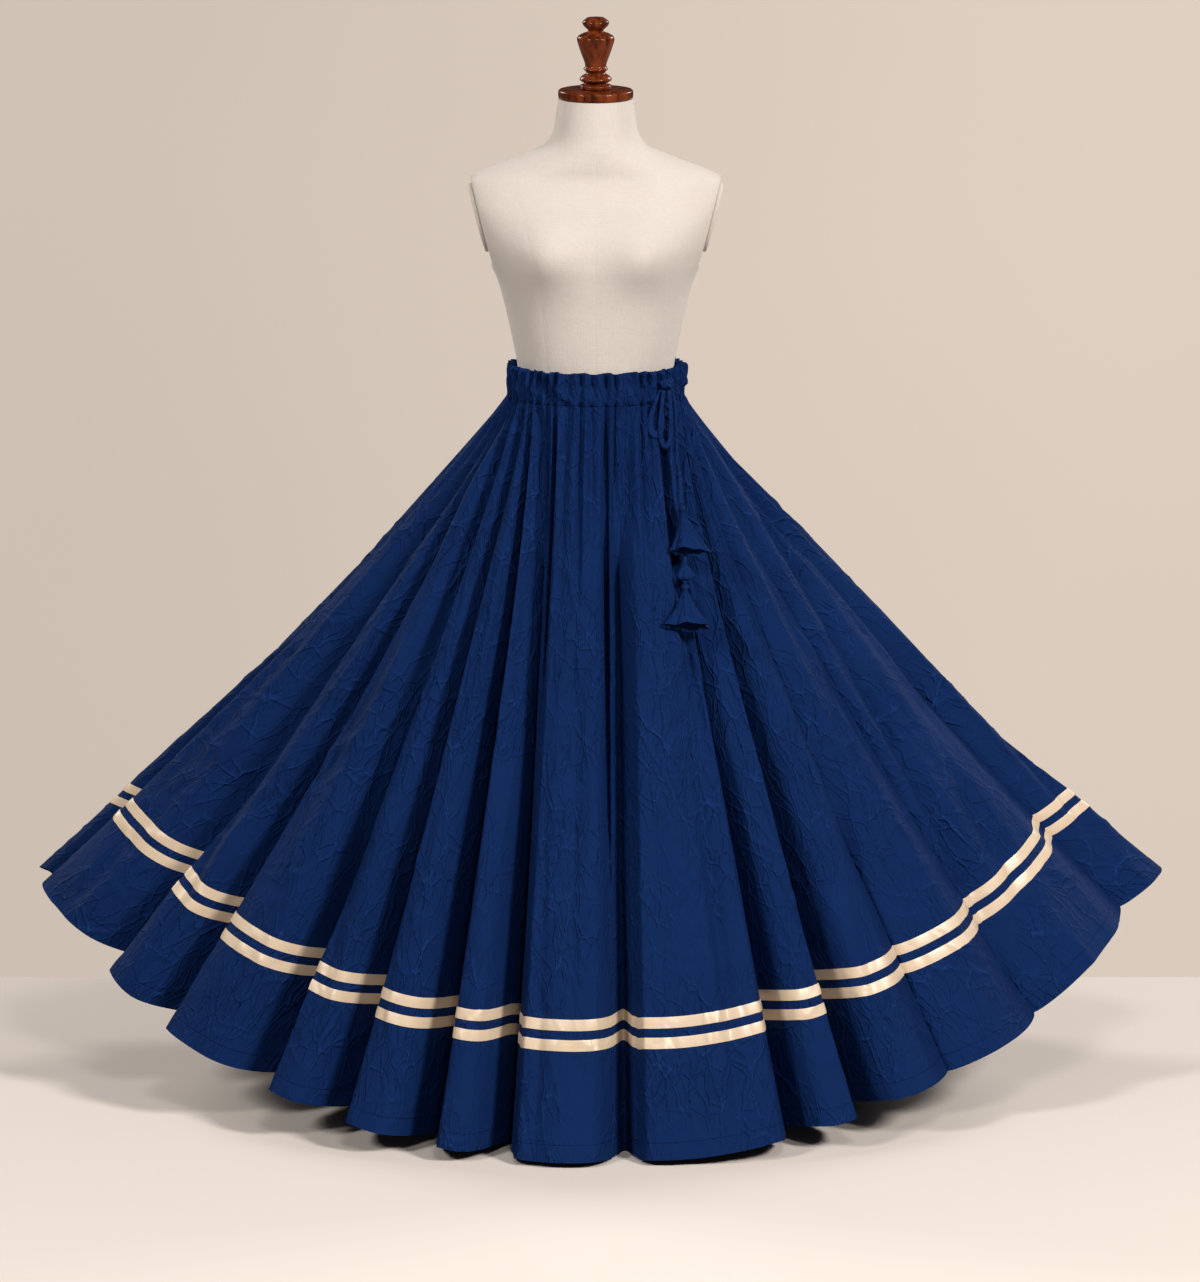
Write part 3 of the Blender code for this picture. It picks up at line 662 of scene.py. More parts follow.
def even_shares(number, columns):
    """Shares of the gore's hem between columns that have equal widths of cloth."""
    start, end = gore_ends(number)
    ends = hem_crests(np.array((start[0], end[0])))
    run = np.linalg.norm(ends[1] - ends[0])
    steps = np.linspace(0.0, 1.0, FINE_STEPS)
    depths = fold_depths(number, steps) + 0.6 * slit_depths(number, steps)
    widths = np.hypot(run * np.diff(steps), np.diff(depths))
    total = np.concatenate(((0.0,), np.cumsum(widths)))
    return np.interp(np.linspace(0.0, total[-1], columns + 1), total, steps)


# Gathers: how fast they deepen below the seam, depth and run of their pinched sides, and the run over which
# each one comes to its own depth.
GATHER_DEEPENING = 10.0
PINCH_DEPTH = 0.16
PINCH_RUN = 0.035
OWN_DEPTH_RUN = 0.06
GATHERS_BEFORE = [sum(row[5] for row in GORES[:number]) for number in range(len(GORES) + 1)]

# Gathers of the front whose valleys run far down; the gore is its row's index.
LONG_GATHERS = (
    # gore, gather, depth share, run
    (1, 1, 1.2, 0.60),
    (4, 1, 1.2, 0.55),
    (5, 1, 1.6, 0.46),
    (5, 2, 0.9, 0.20),
    (5, 3, 1.0, 0.32),
    (5, 4, 0.9, 0.24),
    (5, 5, 1.9, 0.74),
    (5, 6, 0.9, 0.18),
    (6, 1, 1.0, 0.30),
    (6, 2, 0.9, 0.20),
    (6, 3, 1.7, 0.60),
    (7, 1, 1.6, 0.62),
)


@functools.cache
def gather_table():
    """Depth share, run down the skirt and lean of each gather's valley, uneven as hand-drawn gathers are."""
    chance = random.Random(7)
    table = np.array([
        (chance.uniform(0.72, 1.22), chance.choice((0.22, 0.36, 0.62)) * chance.uniform(0.8, 1.2),
         chance.uniform(-0.5, 0.5)) for _ in range(GATHERS_BEFORE[-1])])
    for number, gather, depth, run in LONG_GATHERS:
        table[GATHERS_BEFORE[number] + gather, 0:2] = depth, run
    return table


def gather_places(number, cloth):
    """Place in the uneven row of gathers at a gore's shares of cloth; a valley lies at each whole number."""
    total = GATHERS_BEFORE[-1]
    even = GATHERS_BEFORE[number] + GORES[number][5] * cloth
    turn = 2.0 * np.pi * even / total
    return even + 0.16 * np.sin(round(total / 2.6) * turn) + 0.10 * np.sin(round(total / 4.3) * turn + 1.0)


def gather_inward(number, cloth, downs):
    """How far the gathers lie behind the crests, for a gore's columns and rows."""
    depth = bpy.context.scene.skirt_sizes.gather_depth
    table = gather_table()
    place_in = gather_places(number, cloth)
    nearest = np.round(place_in).astype(int) % len(table)
    wave = (0.5 + 0.5 * np.cos(2.0 * np.pi * place_in)) ** 1.3
    run = table[nearest, 1][:, None]
    fade = (1.0 + GATHER_DEEPENING * downs[None, :]) * np.clip(1.0 - downs[None, :] / run, 0.0, 1.0) ** 1.3
    short = np.exp(-downs[None, :] / PINCH_RUN)
    pinch = PINCH_DEPTH * np.cos(6.0 * np.pi * place_in + 2.0 * table[nearest, 2])[:, None] * short
    full = table[nearest, 0][:, None]
    at_seam = np.minimum(full, 1.0)
    share = at_seam + (full - at_seam) * np.clip(downs[None, :] / OWN_DEPTH_RUN, 0.0, 1.0)
    return depth * fade * (share * wave[:, None] + pinch * np.abs(np.sin(np.pi * place_in))[:, None])


def base_grid(number, columns, downs):
    """Points outside a gore before its creases, their outward direction, and each column's share of cloth."""
    start, end = gore_ends(number)
    shares = even_shares(number, columns)
    cloth = np.linspace(0.0, 1.0, columns + 1)
    hem_angles = start[0] + (end[0] - start[0]) * shares
    waist_angles = start[1] + (end[1] - start[1]) * cloth
    hem = hem_crests(hem_angles)[:, None, :]
    waist = waist_crests(waist_angles)[:, None, :]
    down = downs[None, :, None]
    before = [hem_crests(hem_angles - HEM_ANGLE_STEP), waist_crests(waist_angles - WAIST_ANGLE_STEP)]
    after = [hem_crests(hem_angles + HEM_ANGLE_STEP), waist_crests(waist_angles + WAIST_ANGLE_STEP)]
    hem_run = (after[0] - before[0])[:, None, :]
    waist_run = (after[1] - before[1])[:, None, :]
    along = waist_run + (hem_run - waist_run) * down
    outward = np.cross(np.broadcast_to(hem - waist, along.shape), along)
    outward /= np.linalg.norm(outward, axis=2, keepdims=True)
    inward = fold_depths(number, shares)[:, None] * downs[None, :] ** FOLD_GROWTH
    inward = inward + SAG * 4.0 * downs[None, :] * (1.0 - downs[None, :])
    inward = inward + gather_inward(number, cloth, downs)
    inward = inward + soft_waves(np.radians(hem_angles), downs)
    points = waist + (hem - waist) * down - outward * inward[:, :, None]
    rounding = PANEL_ROUNDING * (1.0 - np.sqrt(1.0 - (0.98 * (2.0 * shares - 1.0)) ** 2))
    level = slit_depths(number, shares)[:, None] * downs[None, :] ** SLIT_GROWTH
    level = level + rounding[:, None] * downs[None, :] ** FOLD_GROWTH
    ahead = outward * (1.0, 1.0, 0.0)
    ahead /= np.linalg.norm(ahead, axis=2, keepdims=True)
    points = points - ahead * level[:, :, None]
    lift = np.maximum(HEM_CLEARANCE - points[:, -1, 2], 0.0)
    points[:, :, 2] += lift[:, None] * downs[None, :] ** 2
    return points, outward, cloth


def clear_of_torso(points, downs):
    """The cloth's points, moved out to a small gap where a fold would reach into the torso."""
    height = points[..., 2]
    section = torso_section(np.clip(height, TORSO[0][0], TORSO[-1][0]).ravel())
    half_width, half_depth, squareness = (part.reshape(height.shape) for part in section)
    gap = TORSO_GAP + TORSO_GAP_GROWTH * np.clip(downs * 8.0, 0.0, 1.0)[None, :]
    size = (np.abs(points[..., 0]) / (half_width + gap)) ** squareness
    size = (size + (np.abs(points[..., 1]) / (half_depth + gap)) ** squareness) ** (1.0 / squareness)
    push = np.where(height > TORSO[0][0] - 0.02, np.maximum(1.0 / np.maximum(size, 0.2), 1.0), 1.0)
    moved = points.copy()
    moved[..., :2] *= push[..., None]
    return moved


def soft_waves(angles, downs):
    """Broad unevenness of the panels, none at the waist."""
    turn = angles[:, None]
    down = downs[None, :]
    rise = np.sin(np.pi * np.clip(down, 0.0, 1.0)) * 0.6 + down * 0.4
    return rise * (0.0030 * np.sin(23.0 * turn + 5.0 * down) + 0.0024 * np.sin(41.0 * turn - 7.0 * down + 1.3)
                   + 0.0016 * np.sin(67.0 * turn + 9.0 * down + 0.4))


def ridge(across, crisp):
    """Cross-section of a crease: crisp from 0, a soft swell, to 1, a sharp pressed edge."""
    soft = np.exp(-across ** 2)
    sharp = np.exp(-1.6 * np.abs(across))
    return soft + (sharp - soft) * crisp


# Creases of the front that show from a step away: ends as x and z, bow to the left of the line from the first
# end to the second, half width, height (a trough is negative) and crispness.
FRONT_CREASES = (
    # x, z, x, z, bow, half width, height, crisp
    (-0.015, 0.735, -0.071, 0.470, 0.006, 0.0050, 0.0030, 0.8),
    (-0.028, 0.700, -0.006, 0.600, -0.004, 0.0040, 0.0020, 0.7),
    (-0.055, 0.480, 0.012, 0.410, 0.004, 0.0040, 0.0020, 0.8),
    (-0.085, 0.368, 0.026, 0.300, -0.005, 0.0040, 0.0018, 0.7),
    (-0.060, 0.326, 0.014, 0.345, 0.003, 0.0035, 0.0016, 0.6),
    (-0.075, 0.294, 0.018, 0.270, 0.003, 0.0040, 0.0018, 0.7),
    (0.076, 0.845, 0.155, 0.612, -0.004, 0.0030, -0.0024, 0.9),
    (0.070, 0.508, 0.113, 0.432, 0.003, 0.0040, 0.0022, 0.8),
    (0.067, 0.556, 0.141, 0.620, 0.004, 0.0035, 0.0020, 0.8),
    (0.115, 0.665, 0.165, 0.588, -0.004, 0.0040, 0.0022, 0.7),
    (0.070, 0.308, 0.164, 0.308, 0.006, 0.0040, 0.0018, 0.7),
    (0.074, 0.294, 0.202, 0.274, -0.006, 0.0045, 0.0020, 0.6),
    (0.074, 0.233, 0.212, 0.270, 0.005, 0.0040, 0.0018, 0.7),
    (-0.442, 0.458, -0.250, 0.600, 0.010, 0.0060, 0.0042, 0.6),
    (-0.430, 0.450, -0.262, 0.576, 0.010, 0.0060, -0.0022, 0.2),
    (-0.492, 0.400, -0.384, 0.402, 0.003, 0.0040, 0.0022, 0.7),
    (-0.514, 0.335, -0.384, 0.357, 0.004, 0.0045, 0.0024, 0.7),
    (-0.486, 0.364, -0.378, 0.380, -0.004, 0.0040, 0.0020, 0.8),
    (-0.497, 0.324, -0.384, 0.300, 0.003, 0.0040, 0.0020, 0.7),
    (-0.548, 0.395, -0.496, 0.362, 0.002, 0.0040, 0.0022, 0.8),
    (-0.553, 0.412, -0.505, 0.441, 0.002, 0.0040, 0.0022, 0.8),
    (-0.586, 0.360, -0.524, 0.396, 0.003, 0.0040, 0.0022, 0.8),
    (0.285, 0.690, 0.434, 0.455, 0.012, 0.0090, 0.0046, 0.3),
    (0.300, 0.690, 0.450, 0.470, 0.012, 0.0080, -0.0030, 0.1),
    (0.346, 0.360, 0.575, 0.377, -0.005, 0.0040, 0.0024, 0.7),
    (0.444, 0.368, 0.553, 0.362, -0.008, 0.0040, 0.0020, 0.7),
    (0.538, 0.262, 0.568, 0.186, 0.004, 0.0045, 0.0022, 0.6),
    (0.128, 1.020, 0.610, 0.150, 0.026, 0.0100, -0.0170, 0.2),
    (0.128, 1.015, 0.800, 0.260, 0.012, 0.0110, -0.0160, 0.2),
    (0.420, 0.640, 0.640, 0.220, 0.010, 0.0140, -0.0080, 0.1),
    (-0.120, 1.015, -0.760, 0.250, -0.012, 0.0100, -0.0150, 0.2),
    (-0.115, 1.015, -0.640, 0.220, -0.014, 0.0100, -0.0150, 0.2),
    (-0.330, 0.700, -0.600, 0.300, -0.006, 0.0130, -0.0080, 0.1),
    (0.120, 0.680, 0.213, -0.040, 0.004, 0.0110, -0.0130, 0.2),
    (-0.070, 0.620, -0.086, -0.040, 0.002, 0.0100, -0.0060, 0.2),
    (-0.030, 0.760, -0.040, 0.060, 0.004, 0.0120, -0.0050, 0.1),
    (0.020, 0.960, 0.044, 0.420, 0.003, 0.0080, -0.0120, 0.2),
    (-0.230, 0.760, -0.420, 0.060, -0.006, 0.0120, -0.0070, 0.1),
    (0.330, 0.520, 0.420, 0.060, 0.004, 0.0130, -0.0070, 0.1),
    (-0.104, 1.005, -0.215, 0.820, -0.006, 0.0070, 0.0040, 0.2),
    (-0.066, 1.010, -0.093, 0.750, -0.002, 0.0050, -0.0040, 0.4),
    (0.145, 0.980, 0.250, 0.780, 0.004, 0.0080, 0.0040, 0.2),
    (0.158, 0.950, 0.292, 0.670, 0.006, 0.0080, -0.0036, 0.2),
    (-0.036, 0.985, -0.044, 0.780, 0.003, 0.0060, 0.0030, 0.2),
    (0.012, 0.985, 0.022, 0.760, -0.003, 0.0070, 0.0030, 0.2),
    (0.046, 0.985, 0.060, 0.800, -0.003, 0.0060, -0.0030, 0.3),
)

# Folds of the casing: waist angle and height share where each starts and ends, half width in degrees, height.
CASING_FOLDS = (
    # angle, up, angle, up, half width, height
    (-33.0, 1.00, -19.0, 0.10, 3.2, 0.0040),
    (-38.0, 0.80, -26.0, 0.05, 2.6, -0.0030),
    (-58.0, 0.95, -44.0, 0.30, 3.4, 0.0026),
    (52.0, 0.50, 37.0, 1.00, 2.4, 0.0026),
    (50.0, 0.45, 30.0, 0.62, 2.6, 0.0024),
    (50.0, 0.40, 38.0, 0.08, 2.4, 0.0022),
    (57.0, 0.50, 66.0, 1.00, 2.6, 0.0026),
    (58.0, 0.45, 76.0, 0.70, 3.0, 0.0026),
    (58.0, 0.40, 72.0, 0.10, 2.6, 0.0020),
    (86.0, 1.00, 80.0, 0.35, 5.0, 0.0060),
    (80.0, 1.00, 66.0, 0.20, 3.0, -0.0035),
    (-46.0, 1.00, -30.0, 0.10, 3.0, -0.0040),
    (-70.0, 1.00, -60.0, 0.20, 4.0, 0.0035),
    (-12.0, 0.85, -6.0, 0.20, 2.2, 0.0018),
    (14.0, 0.90, 8.0, 0.25, 2.2, 0.0018),
    (120.0, 0.90, 132.0, 0.20, 3.0, 0.0026),
    (168.0, 0.85, 160.0, 0.15, 3.0, 0.0024),
    (214.0, 0.95, 226.0, 0.20, 3.0, 0.0026),
    (256.0, 0.90, 248.0, 0.25, 2.8, 0.0022),
)


def placed_creases(points):
    """Height that the listed creases add at points of the front."""
    x = points[..., 0]
    z = points[..., 2]
    total = np.zeros(x.shape)
    for x0, z0, x1, z1, bow, width, height, crisp in FRONT_CREASES:
        length = math.hypot(x1 - x0, z1 - z0)
        ax, az = (x1 - x0) / length, (z1 - z0) / length
        along = ((x - x0) * ax + (z - z0) * az) / length
        inside = (along > 0.0) & (along < 1.0)
        share = np.clip(along, 0.0, 1.0)
        across = (x - x0) * -az + (z - z0) * ax - bow * 4.0 * share * (1.0 - share)
        total += inside * height * np.sin(np.pi * share) ** 0.7 * ridge(across / width, crisp)
    return total


def small_creases(number, cloth, downs, widths):
    """Height that a gore's own small creases add: uneven in length, depth and direction, none at its seams."""
    depth = bpy.context.scene.skirt_sizes.crush_depth
    chance = random.Random(100 + number)
    area = widths.mean() * LENGTH_OF_SKIRT
    total = np.zeros((len(cloth), len(downs)))
    down = downs * LENGTH_OF_SKIRT
    for _ in range(int(area * CREASES_TO_AREA)):
        t = LENGTH_OF_SKIRT * chance.uniform(0.10, 1.0) ** 0.75
        middle = chance.uniform(0.08, 0.92)
        length = chance.uniform(0.025, 0.16) * (0.6 + 0.6 * t)
        turn = chance.choice((chance.gauss(0.0, 0.25), chance.gauss(0.75, 0.3), chance.gauss(-0.7, 0.3)))
        bow = chance.uniform(-0.10, 0.10) * length
        half = chance.uniform(0.0022, 0.0060)
        height = depth * chance.uniform(0.35, 1.5) * chance.choice((1.0, 1.0, -0.9))
        crisp = chance.uniform(0.2, 1.0)
        width = float(np.interp(t, down, widths))
        x = (cloth[:, None] - middle) * width
        y = down[None, :] - t
        along = x * math.sin(turn) + y * math.cos(turn)
        share = along / length + 0.5
        inside = (share > 0.0) & (share < 1.0)
        share = np.clip(share, 0.0, 1.0)
        across = x * math.cos(turn) - y * math.sin(turn) - bow * 4.0 * share * (1.0 - share)
        total += inside * height * np.sin(np.pi * share) ** 0.8 * ridge(across / half, crisp)
    reach = np.minimum(cloth, 1.0 - cloth)[:, None] * widths[None, :]
    return total * np.clip(reach / CREASE_FADE, 0.0, 1.0)


def row_widths(points):
    """Width of cloth along each row of a grid."""
    return np.linalg.norm(np.diff(points, axis=0), axis=2).sum(axis=0)


@functools.cache
def skirt_cloth():
    """Outside, outward directions and cloth coordinates of the whole skirt, as one ring of columns."""
    downs = np.linspace(0.0, 1.0, ROWS + 1)
    outside = []
    flats = []
    for number, row in enumerate(GORES):
        points, outward, cloth = base_grid(number, row[6], downs)
        widths = row_widths(points)
        height = small_creases(number, cloth, downs, widths)
        if row[0] < 90.0:
            height = height + placed_creases(points)
        from_hem = (1.0 - downs) * LENGTH_OF_SKIRT
        height = height + (HEM_FOLD_SWELL * np.clip((HEM_FOLD - from_hem) / HEM_FOLD_EDGE, 0.0, 1.0))[None, :]
        points = clear_of_torso(points + outward * height[:, :, None], downs)
        outside.append(points[:-1])
        flat = np.stack((cloth[:, None] * widths[None, :] - 0.5 * widths[None, :] + GORE_OFFSET * number,
                         np.broadcast_to(downs[None, :] * LENGTH_OF_SKIRT, (len(cloth), len(downs)))), axis=2)
        flats.append(flat)
    ring = np.concatenate(outside)
    normals = grid_normals(ring)
    return downs, ring, normals, flats


def grid_normals(ring):
    """Outward directions of a closed ring of columns, smoothed over the neighbours."""
    along = np.roll(ring, -1, axis=0) - np.roll(ring, 1, axis=0)
    down = np.empty_like(ring)
    down[:, 1:-1] = ring[:, 2:] - ring[:, :-2]
    down[:, 0] = ring[:, 1] - ring[:, 0]
    down[:, -1] = ring[:, -1] - ring[:, -2]
    normals = np.cross(down, along)
    return normals / np.linalg.norm(normals, axis=2, keepdims=True)


# Meshes of cloth

def shell_faces(columns, rows, closed):
    """Faces of a wall between two grids of columns; the inner grid's points follow the outer grid's."""
    spans = columns if closed else columns - 1
    column = np.arange(spans)[:, None]
    row = np.arange(rows - 1)[None, :]
    here = (column * rows + row).ravel()
    there = (((column + 1) % columns) * rows + row).ravel()
    back = columns * rows
    outer = np.stack((here, here + 1, there + 1, there), axis=1)
    inner = np.stack((here, there, there + 1, here + 1), axis=1) + back
    top_here = column.ravel() * rows
    top_there = ((column.ravel() + 1) % columns) * rows
    low = rows - 1
    top = np.stack((top_here, top_there, back + top_there, back + top_here), axis=1)
    foot = np.stack((top_here + low, back + top_here + low, back + top_there + low, top_there + low), axis=1)
    parts = [outer, inner, top, foot]
    if not closed:
        line = row.ravel()
        end = (columns - 1) * rows
        parts.append(np.stack((line, back + line, back + line + 1, line + 1), axis=1))
        parts.append(np.stack((end + line, end + line + 1, back + end + line + 1, back + end + line), axis=1))
    return np.concatenate(parts).tolist()


def give_cloth_coordinates(mesh, flat):
    """UV map of the cloth in metres, from a place for each vertex."""
    while mesh.uv_layers:
        mesh.uv_layers.remove(mesh.uv_layers[0])
    layer = mesh.uv_layers.new(name="cloth")
    corners = np.empty(len(mesh.loops), np.int32)
    mesh.loops.foreach_get("vertex_index", corners)
    layer.uv.foreach_set("vector", np.asarray(flat, np.float32)[corners].ravel())


def add_piece(name, points, faces, look, flat, sharp=50.0):
    """A mesh object at the origin, smooth but for its edges, with its cloth coordinates in metres."""
    mesh = bpy.data.meshes.new(name)
    mesh.from_pydata(np.asarray(points, float).tolist(), [], faces)
    mesh.materials.append(look)
    give_cloth_coordinates(mesh, flat)
    mesh.shade_smooth()
    mesh.set_sharp_from_angle(angle=math.radians(sharp))
    piece = bpy.data.objects.new(name, mesh)
    bpy.context.scene.collection.objects.link(piece)
    return piece


def cloth_wall(name, outer, inner, look, flat, closed):
    """Thin shell of cloth between two grids of columns."""
    columns, rows = outer.shape[:2]
    points = np.concatenate((outer.reshape(-1, 3), inner.reshape(-1, 3)))
    coordinates = np.concatenate((flat.reshape(-1, 2), flat.reshape(-1, 2)))
    return add_piece(name, points, shell_faces(columns, rows, closed), look, coordinates)


def finish_piece(piece, node):
    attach(piece, "root")
    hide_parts(node)
    return piece


class SKIRT_OT_gores(bpy.types.Operator):
    """Builds the gores of the skirt as thin crushed cotton shells on their solids' form"""
    bl_idname = "skirt.gores"
    bl_label = "Skirt gores"

    def execute(self, context):
        thickness = context.scene.skirt_sizes.cloth_thickness
        look = cotton_material()
        _, ring, normals, flats = skirt_cloth()
        inside = ring - normals * thickness
        first = 0
        for number, row in enumerate(GORES):
            columns = (first + np.arange(row[6] + 1)) % len(ring)
            outer = ring[columns].copy()
            inner = inside[columns].copy()
            for side in (outer, inner):
                for edge, neighbour in ((0, 1), (-1, -2)):
                    step = side[neighbour] - side[edge]
                    step /= np.linalg.norm(step, axis=1, keepdims=True)
                    side[edge] += step * (0.5 * SEAM_GAP)
            name = f"gore_{number + 1:02d}"
            piece = cloth_wall(f"cotton_{name}", outer, inner, look, flats[number], False)
            finish_piece(piece, name)
            first += row[6]
        return {"FINISHED"}


class SKIRT_OT_ribbons(bpy.types.Operator):
    """Lays the two satin ribbons on the gores"""
    bl_idname = "skirt.ribbons"
    bl_label = "Satin ribbons"

    def execute(self, context):
        sizes = context.scene.skirt_sizes
        downs, ring, normals, _ = skirt_cloth()
        rounded = np.sin(np.pi * np.linspace(0.0, 1.0, RIBBON_STEPS)) ** 0.5
        for name, upper, lower in RIBBONS:
            wanted = np.linspace(upper, lower, RIBBON_STEPS)
            index = np.clip(np.searchsorted(downs, wanted) - 1, 0, len(downs) - 2)
            part = ((wanted - downs[index]) / (downs[index + 1] - downs[index]))[None, :, None]
            line = ring[:, index] * (1.0 - part) + ring[:, index + 1] * part
            direction = normals[:, index] * (1.0 - part) + normals[:, index + 1] * part
            direction /= np.linalg.norm(direction, axis=2, keepdims=True)
            swell = sizes.ribbon_thickness * (0.55 + 0.45 * rounded)
            inner = line + direction * sizes.ribbon_lift
            outer = inner + direction * swell[None, :, None]
            around = np.concatenate(((0.0,), np.cumsum(np.linalg.norm(np.diff(line[:, 0], axis=0), axis=1))))
            flat = np.stack(np.broadcast_arrays(around[:, None], (wanted * LENGTH_OF_SKIRT)[None, :]), axis=2)
            piece = cloth_wall(f"satin_{name}", outer, inner, ribbon_material(), flat, True)
            finish_piece(piece, name)
        return {"FINISHED"}


class SKIRT_OT_casing(bpy.types.Operator):
    """Builds the gathered waist casing with its drawstring tunnel and ruffled top"""
    bl_idname = "skirt.casing"
    bl_label = "Waist casing"

    def execute(self, context):
        thickness = context.scene.skirt_sizes.cloth_thickness
        ring, flat = casing_ring()
        normals = grid_normals(ring)
        inside = ring - normals * thickness
        inside[:, 0, 2] = ring[:, 0, 2]
        inside[:, -1, 2] = ring[:, -1, 2]
        behind = ring[:, -2:] - normals[:, -2:] * (2.0 * thickness)
        behind[:, 0, 2] = SEAM_Z + 0.5 * SEAM_ALLOWANCE
        behind[:, 1, 2] = SEAM_Z - 0.5 * SEAM_ALLOWANCE
        turned_in = behind - normals[:, -2:] * (0.5 * thickness)
        points = np.concatenate([grid.reshape(-1, 3) for grid in (ring, inside, behind, turned_in)])
        before = 2 * ring.shape[0] * ring.shape[1]
        faces = shell_faces(*ring.shape[:2], True)
        faces += [[before + corner for corner in face] for face in shell_faces(*behind.shape[:2], True)]
        cloth = np.concatenate([grid.reshape(-1, 2) for grid in (flat, flat, flat[:, -2:], flat[:, -2:])])
        piece = add_piece("cotton_waist_casing", points, faces, cotton_material(), cloth)
        finish_piece(piece, "waist_casing")
        return {"FINISHED"}


def casing_ring():
    """Columns of the casing from its ruffled top to the seam, on the gathers of the gores."""
    table = gather_table()
    columns = []
    places = []
    feet = []
    for number, row in enumerate(GORES):
        start, end = gore_ends(number)
        cloth = np.arange(row[6]) / row[6]
        columns.append(start[1] + (end[1] - start[1]) * cloth)
        places.append(gather_places(number, cloth))
        feet.append(gather_inward(number, cloth, np.zeros(1))[:, 0])
    angles = np.concatenate(columns)
    place_in = np.concatenate(places)
    foot = np.concatenate(feet)[:, None]
    nearest = np.round(place_in).astype(int) % len(table)
    up = np.linspace(1.0, 0.0, CASING_ROWS)
    crest = waist_crests(angles)
    outward = np.stack((crest[:, 0] / WAIST_HALF_WIDTH ** 2, crest[:, 1] / WAIST_HALF_DEPTH ** 2,
                        np.zeros(len(angles))), axis=1)
    outward /= np.linalg.norm(outward, axis=1, keepdims=True)
    low_z = SEAM_Z + SEAM_GAP
    lean = 0.22 * table[nearest, 2][:, None] * np.sin(np.pi * up)[None, :]
    wave = 0.5 + 0.5 * np.cos(2.0 * np.pi * (place_in[:, None] + lean))
    deeper = np.sin(0.5 * np.pi * np.clip(up * 1.7, 0.0, 1.0))
    depth = CASING_FOOT_DEPTH + (CASING_TOP_DEPTH - CASING_FOOT_DEPTH) * deeper
    share = 0.80 + 0.22 * (table[nearest, 0][:, None] - 0.9)
    above = np.clip(up * 6.0, 0.0, 1.0)[None, :]
    ruffle = np.clip((up - 0.40) / 0.30, 0.0, 1.0)
    share = share * (0.50 + 0.62 * ruffle ** 2 * (3.0 - 2.0 * ruffle))[None, :]
    growth = 0.0012 * np.sin(np.pi * up) + 0.0004 * up
    twist = np.cos(2.0 * np.pi * (3.0 * place_in[:, None] + 2.0 * up[None, :]))
    twist = 0.0007 * np.sin(np.pi * up)[None, :] * twist
    reach = growth[None, :] + twist - foot * (1.0 - above) - depth[None, :] * share * wave * above
    reach = reach + casing_folds(angles, up)
    points = crest[:, None, :] + outward[:, None, :] * reach[:, :, None]
    scallops = 0.0012 * np.cos(2.0 * np.pi * place_in)
    scallops = scallops - 0.0011 * np.cos(np.pi * place_in + 3.0 * table[nearest, 2])
    top = CASING_TOP_Z - low_z - scallops
    points[:, :, 2] = low_z + up[None, :] * top[:, None]
    points = clear_of_torso(points, np.zeros(CASING_ROWS))
    around = np.concatenate(((0.0,), np.cumsum(np.linalg.norm(np.diff(points[:, 0], axis=0), axis=1))))
    flat = np.stack(np.broadcast_arrays(around[:, None], (up * CASING_HEIGHT)[None, :]), axis=2)
    return points, flat


def casing_folds(angles, up):
    """Height of the casing's listed folds at its columns and rows."""
    total = np.zeros((len(angles), len(up)))
    for angle0, up0, angle1, up1, width, height in CASING_FOLDS:
        share = np.clip((up - up0) / (up1 - up0), -0.3, 1.3)
        centre = angle0 + (angle1 - angle0) * share
        away = (angles[:, None] - centre[None, :] + 180.0) % FULL_TURN - 180.0
        taper = np.exp(-np.clip(np.abs(share - 0.5) - 0.35, 0.0, 1.0) ** 2 / 0.03)
        total += height * np.exp(-(away / width) ** 2) * taper[None, :]
    return total * np.clip(up * 5.0, 0.0, 1.0)[None, :]


# Drawstring and tassels

def smooth_points(points, parts):
    """Points on a smooth curve through the given points, with as many parts between each two."""
    padded = [points[0] * 2 - points[1], *points, points[-1] * 2 - points[-2]]
    found = []
    for index in range(len(points) - 1):
        p0, p1, p2, p3 = padded[index:index + 4]
        for part in range(parts):
            share = part / parts
            found.append(0.5 * (2 * p1 + (p2 - p0) * share + (2 * p0 - 5 * p1 + 4 * p2 - p3) * share ** 2
                                + (3 * p1 - p0 - 3 * p2 + p3) * share ** 3))
    found.append(points[-1])
    return found


def smooth_route(route, step):
    """Points at even steps along a smooth curve through a cord's route points."""
    fine = np.array(smooth_points([Vector(point) for point in route], 24))
    lengths = np.concatenate(((0.0,), np.cumsum(np.linalg.norm(np.diff(fine, axis=0), axis=1))))
    count = max(2, round(lengths[-1] / step))
    wanted = np.linspace(0.0, lengths[-1], count + 1)
    return np.stack([np.interp(wanted, lengths, fine[:, axis]) for axis in range(3)], axis=1)


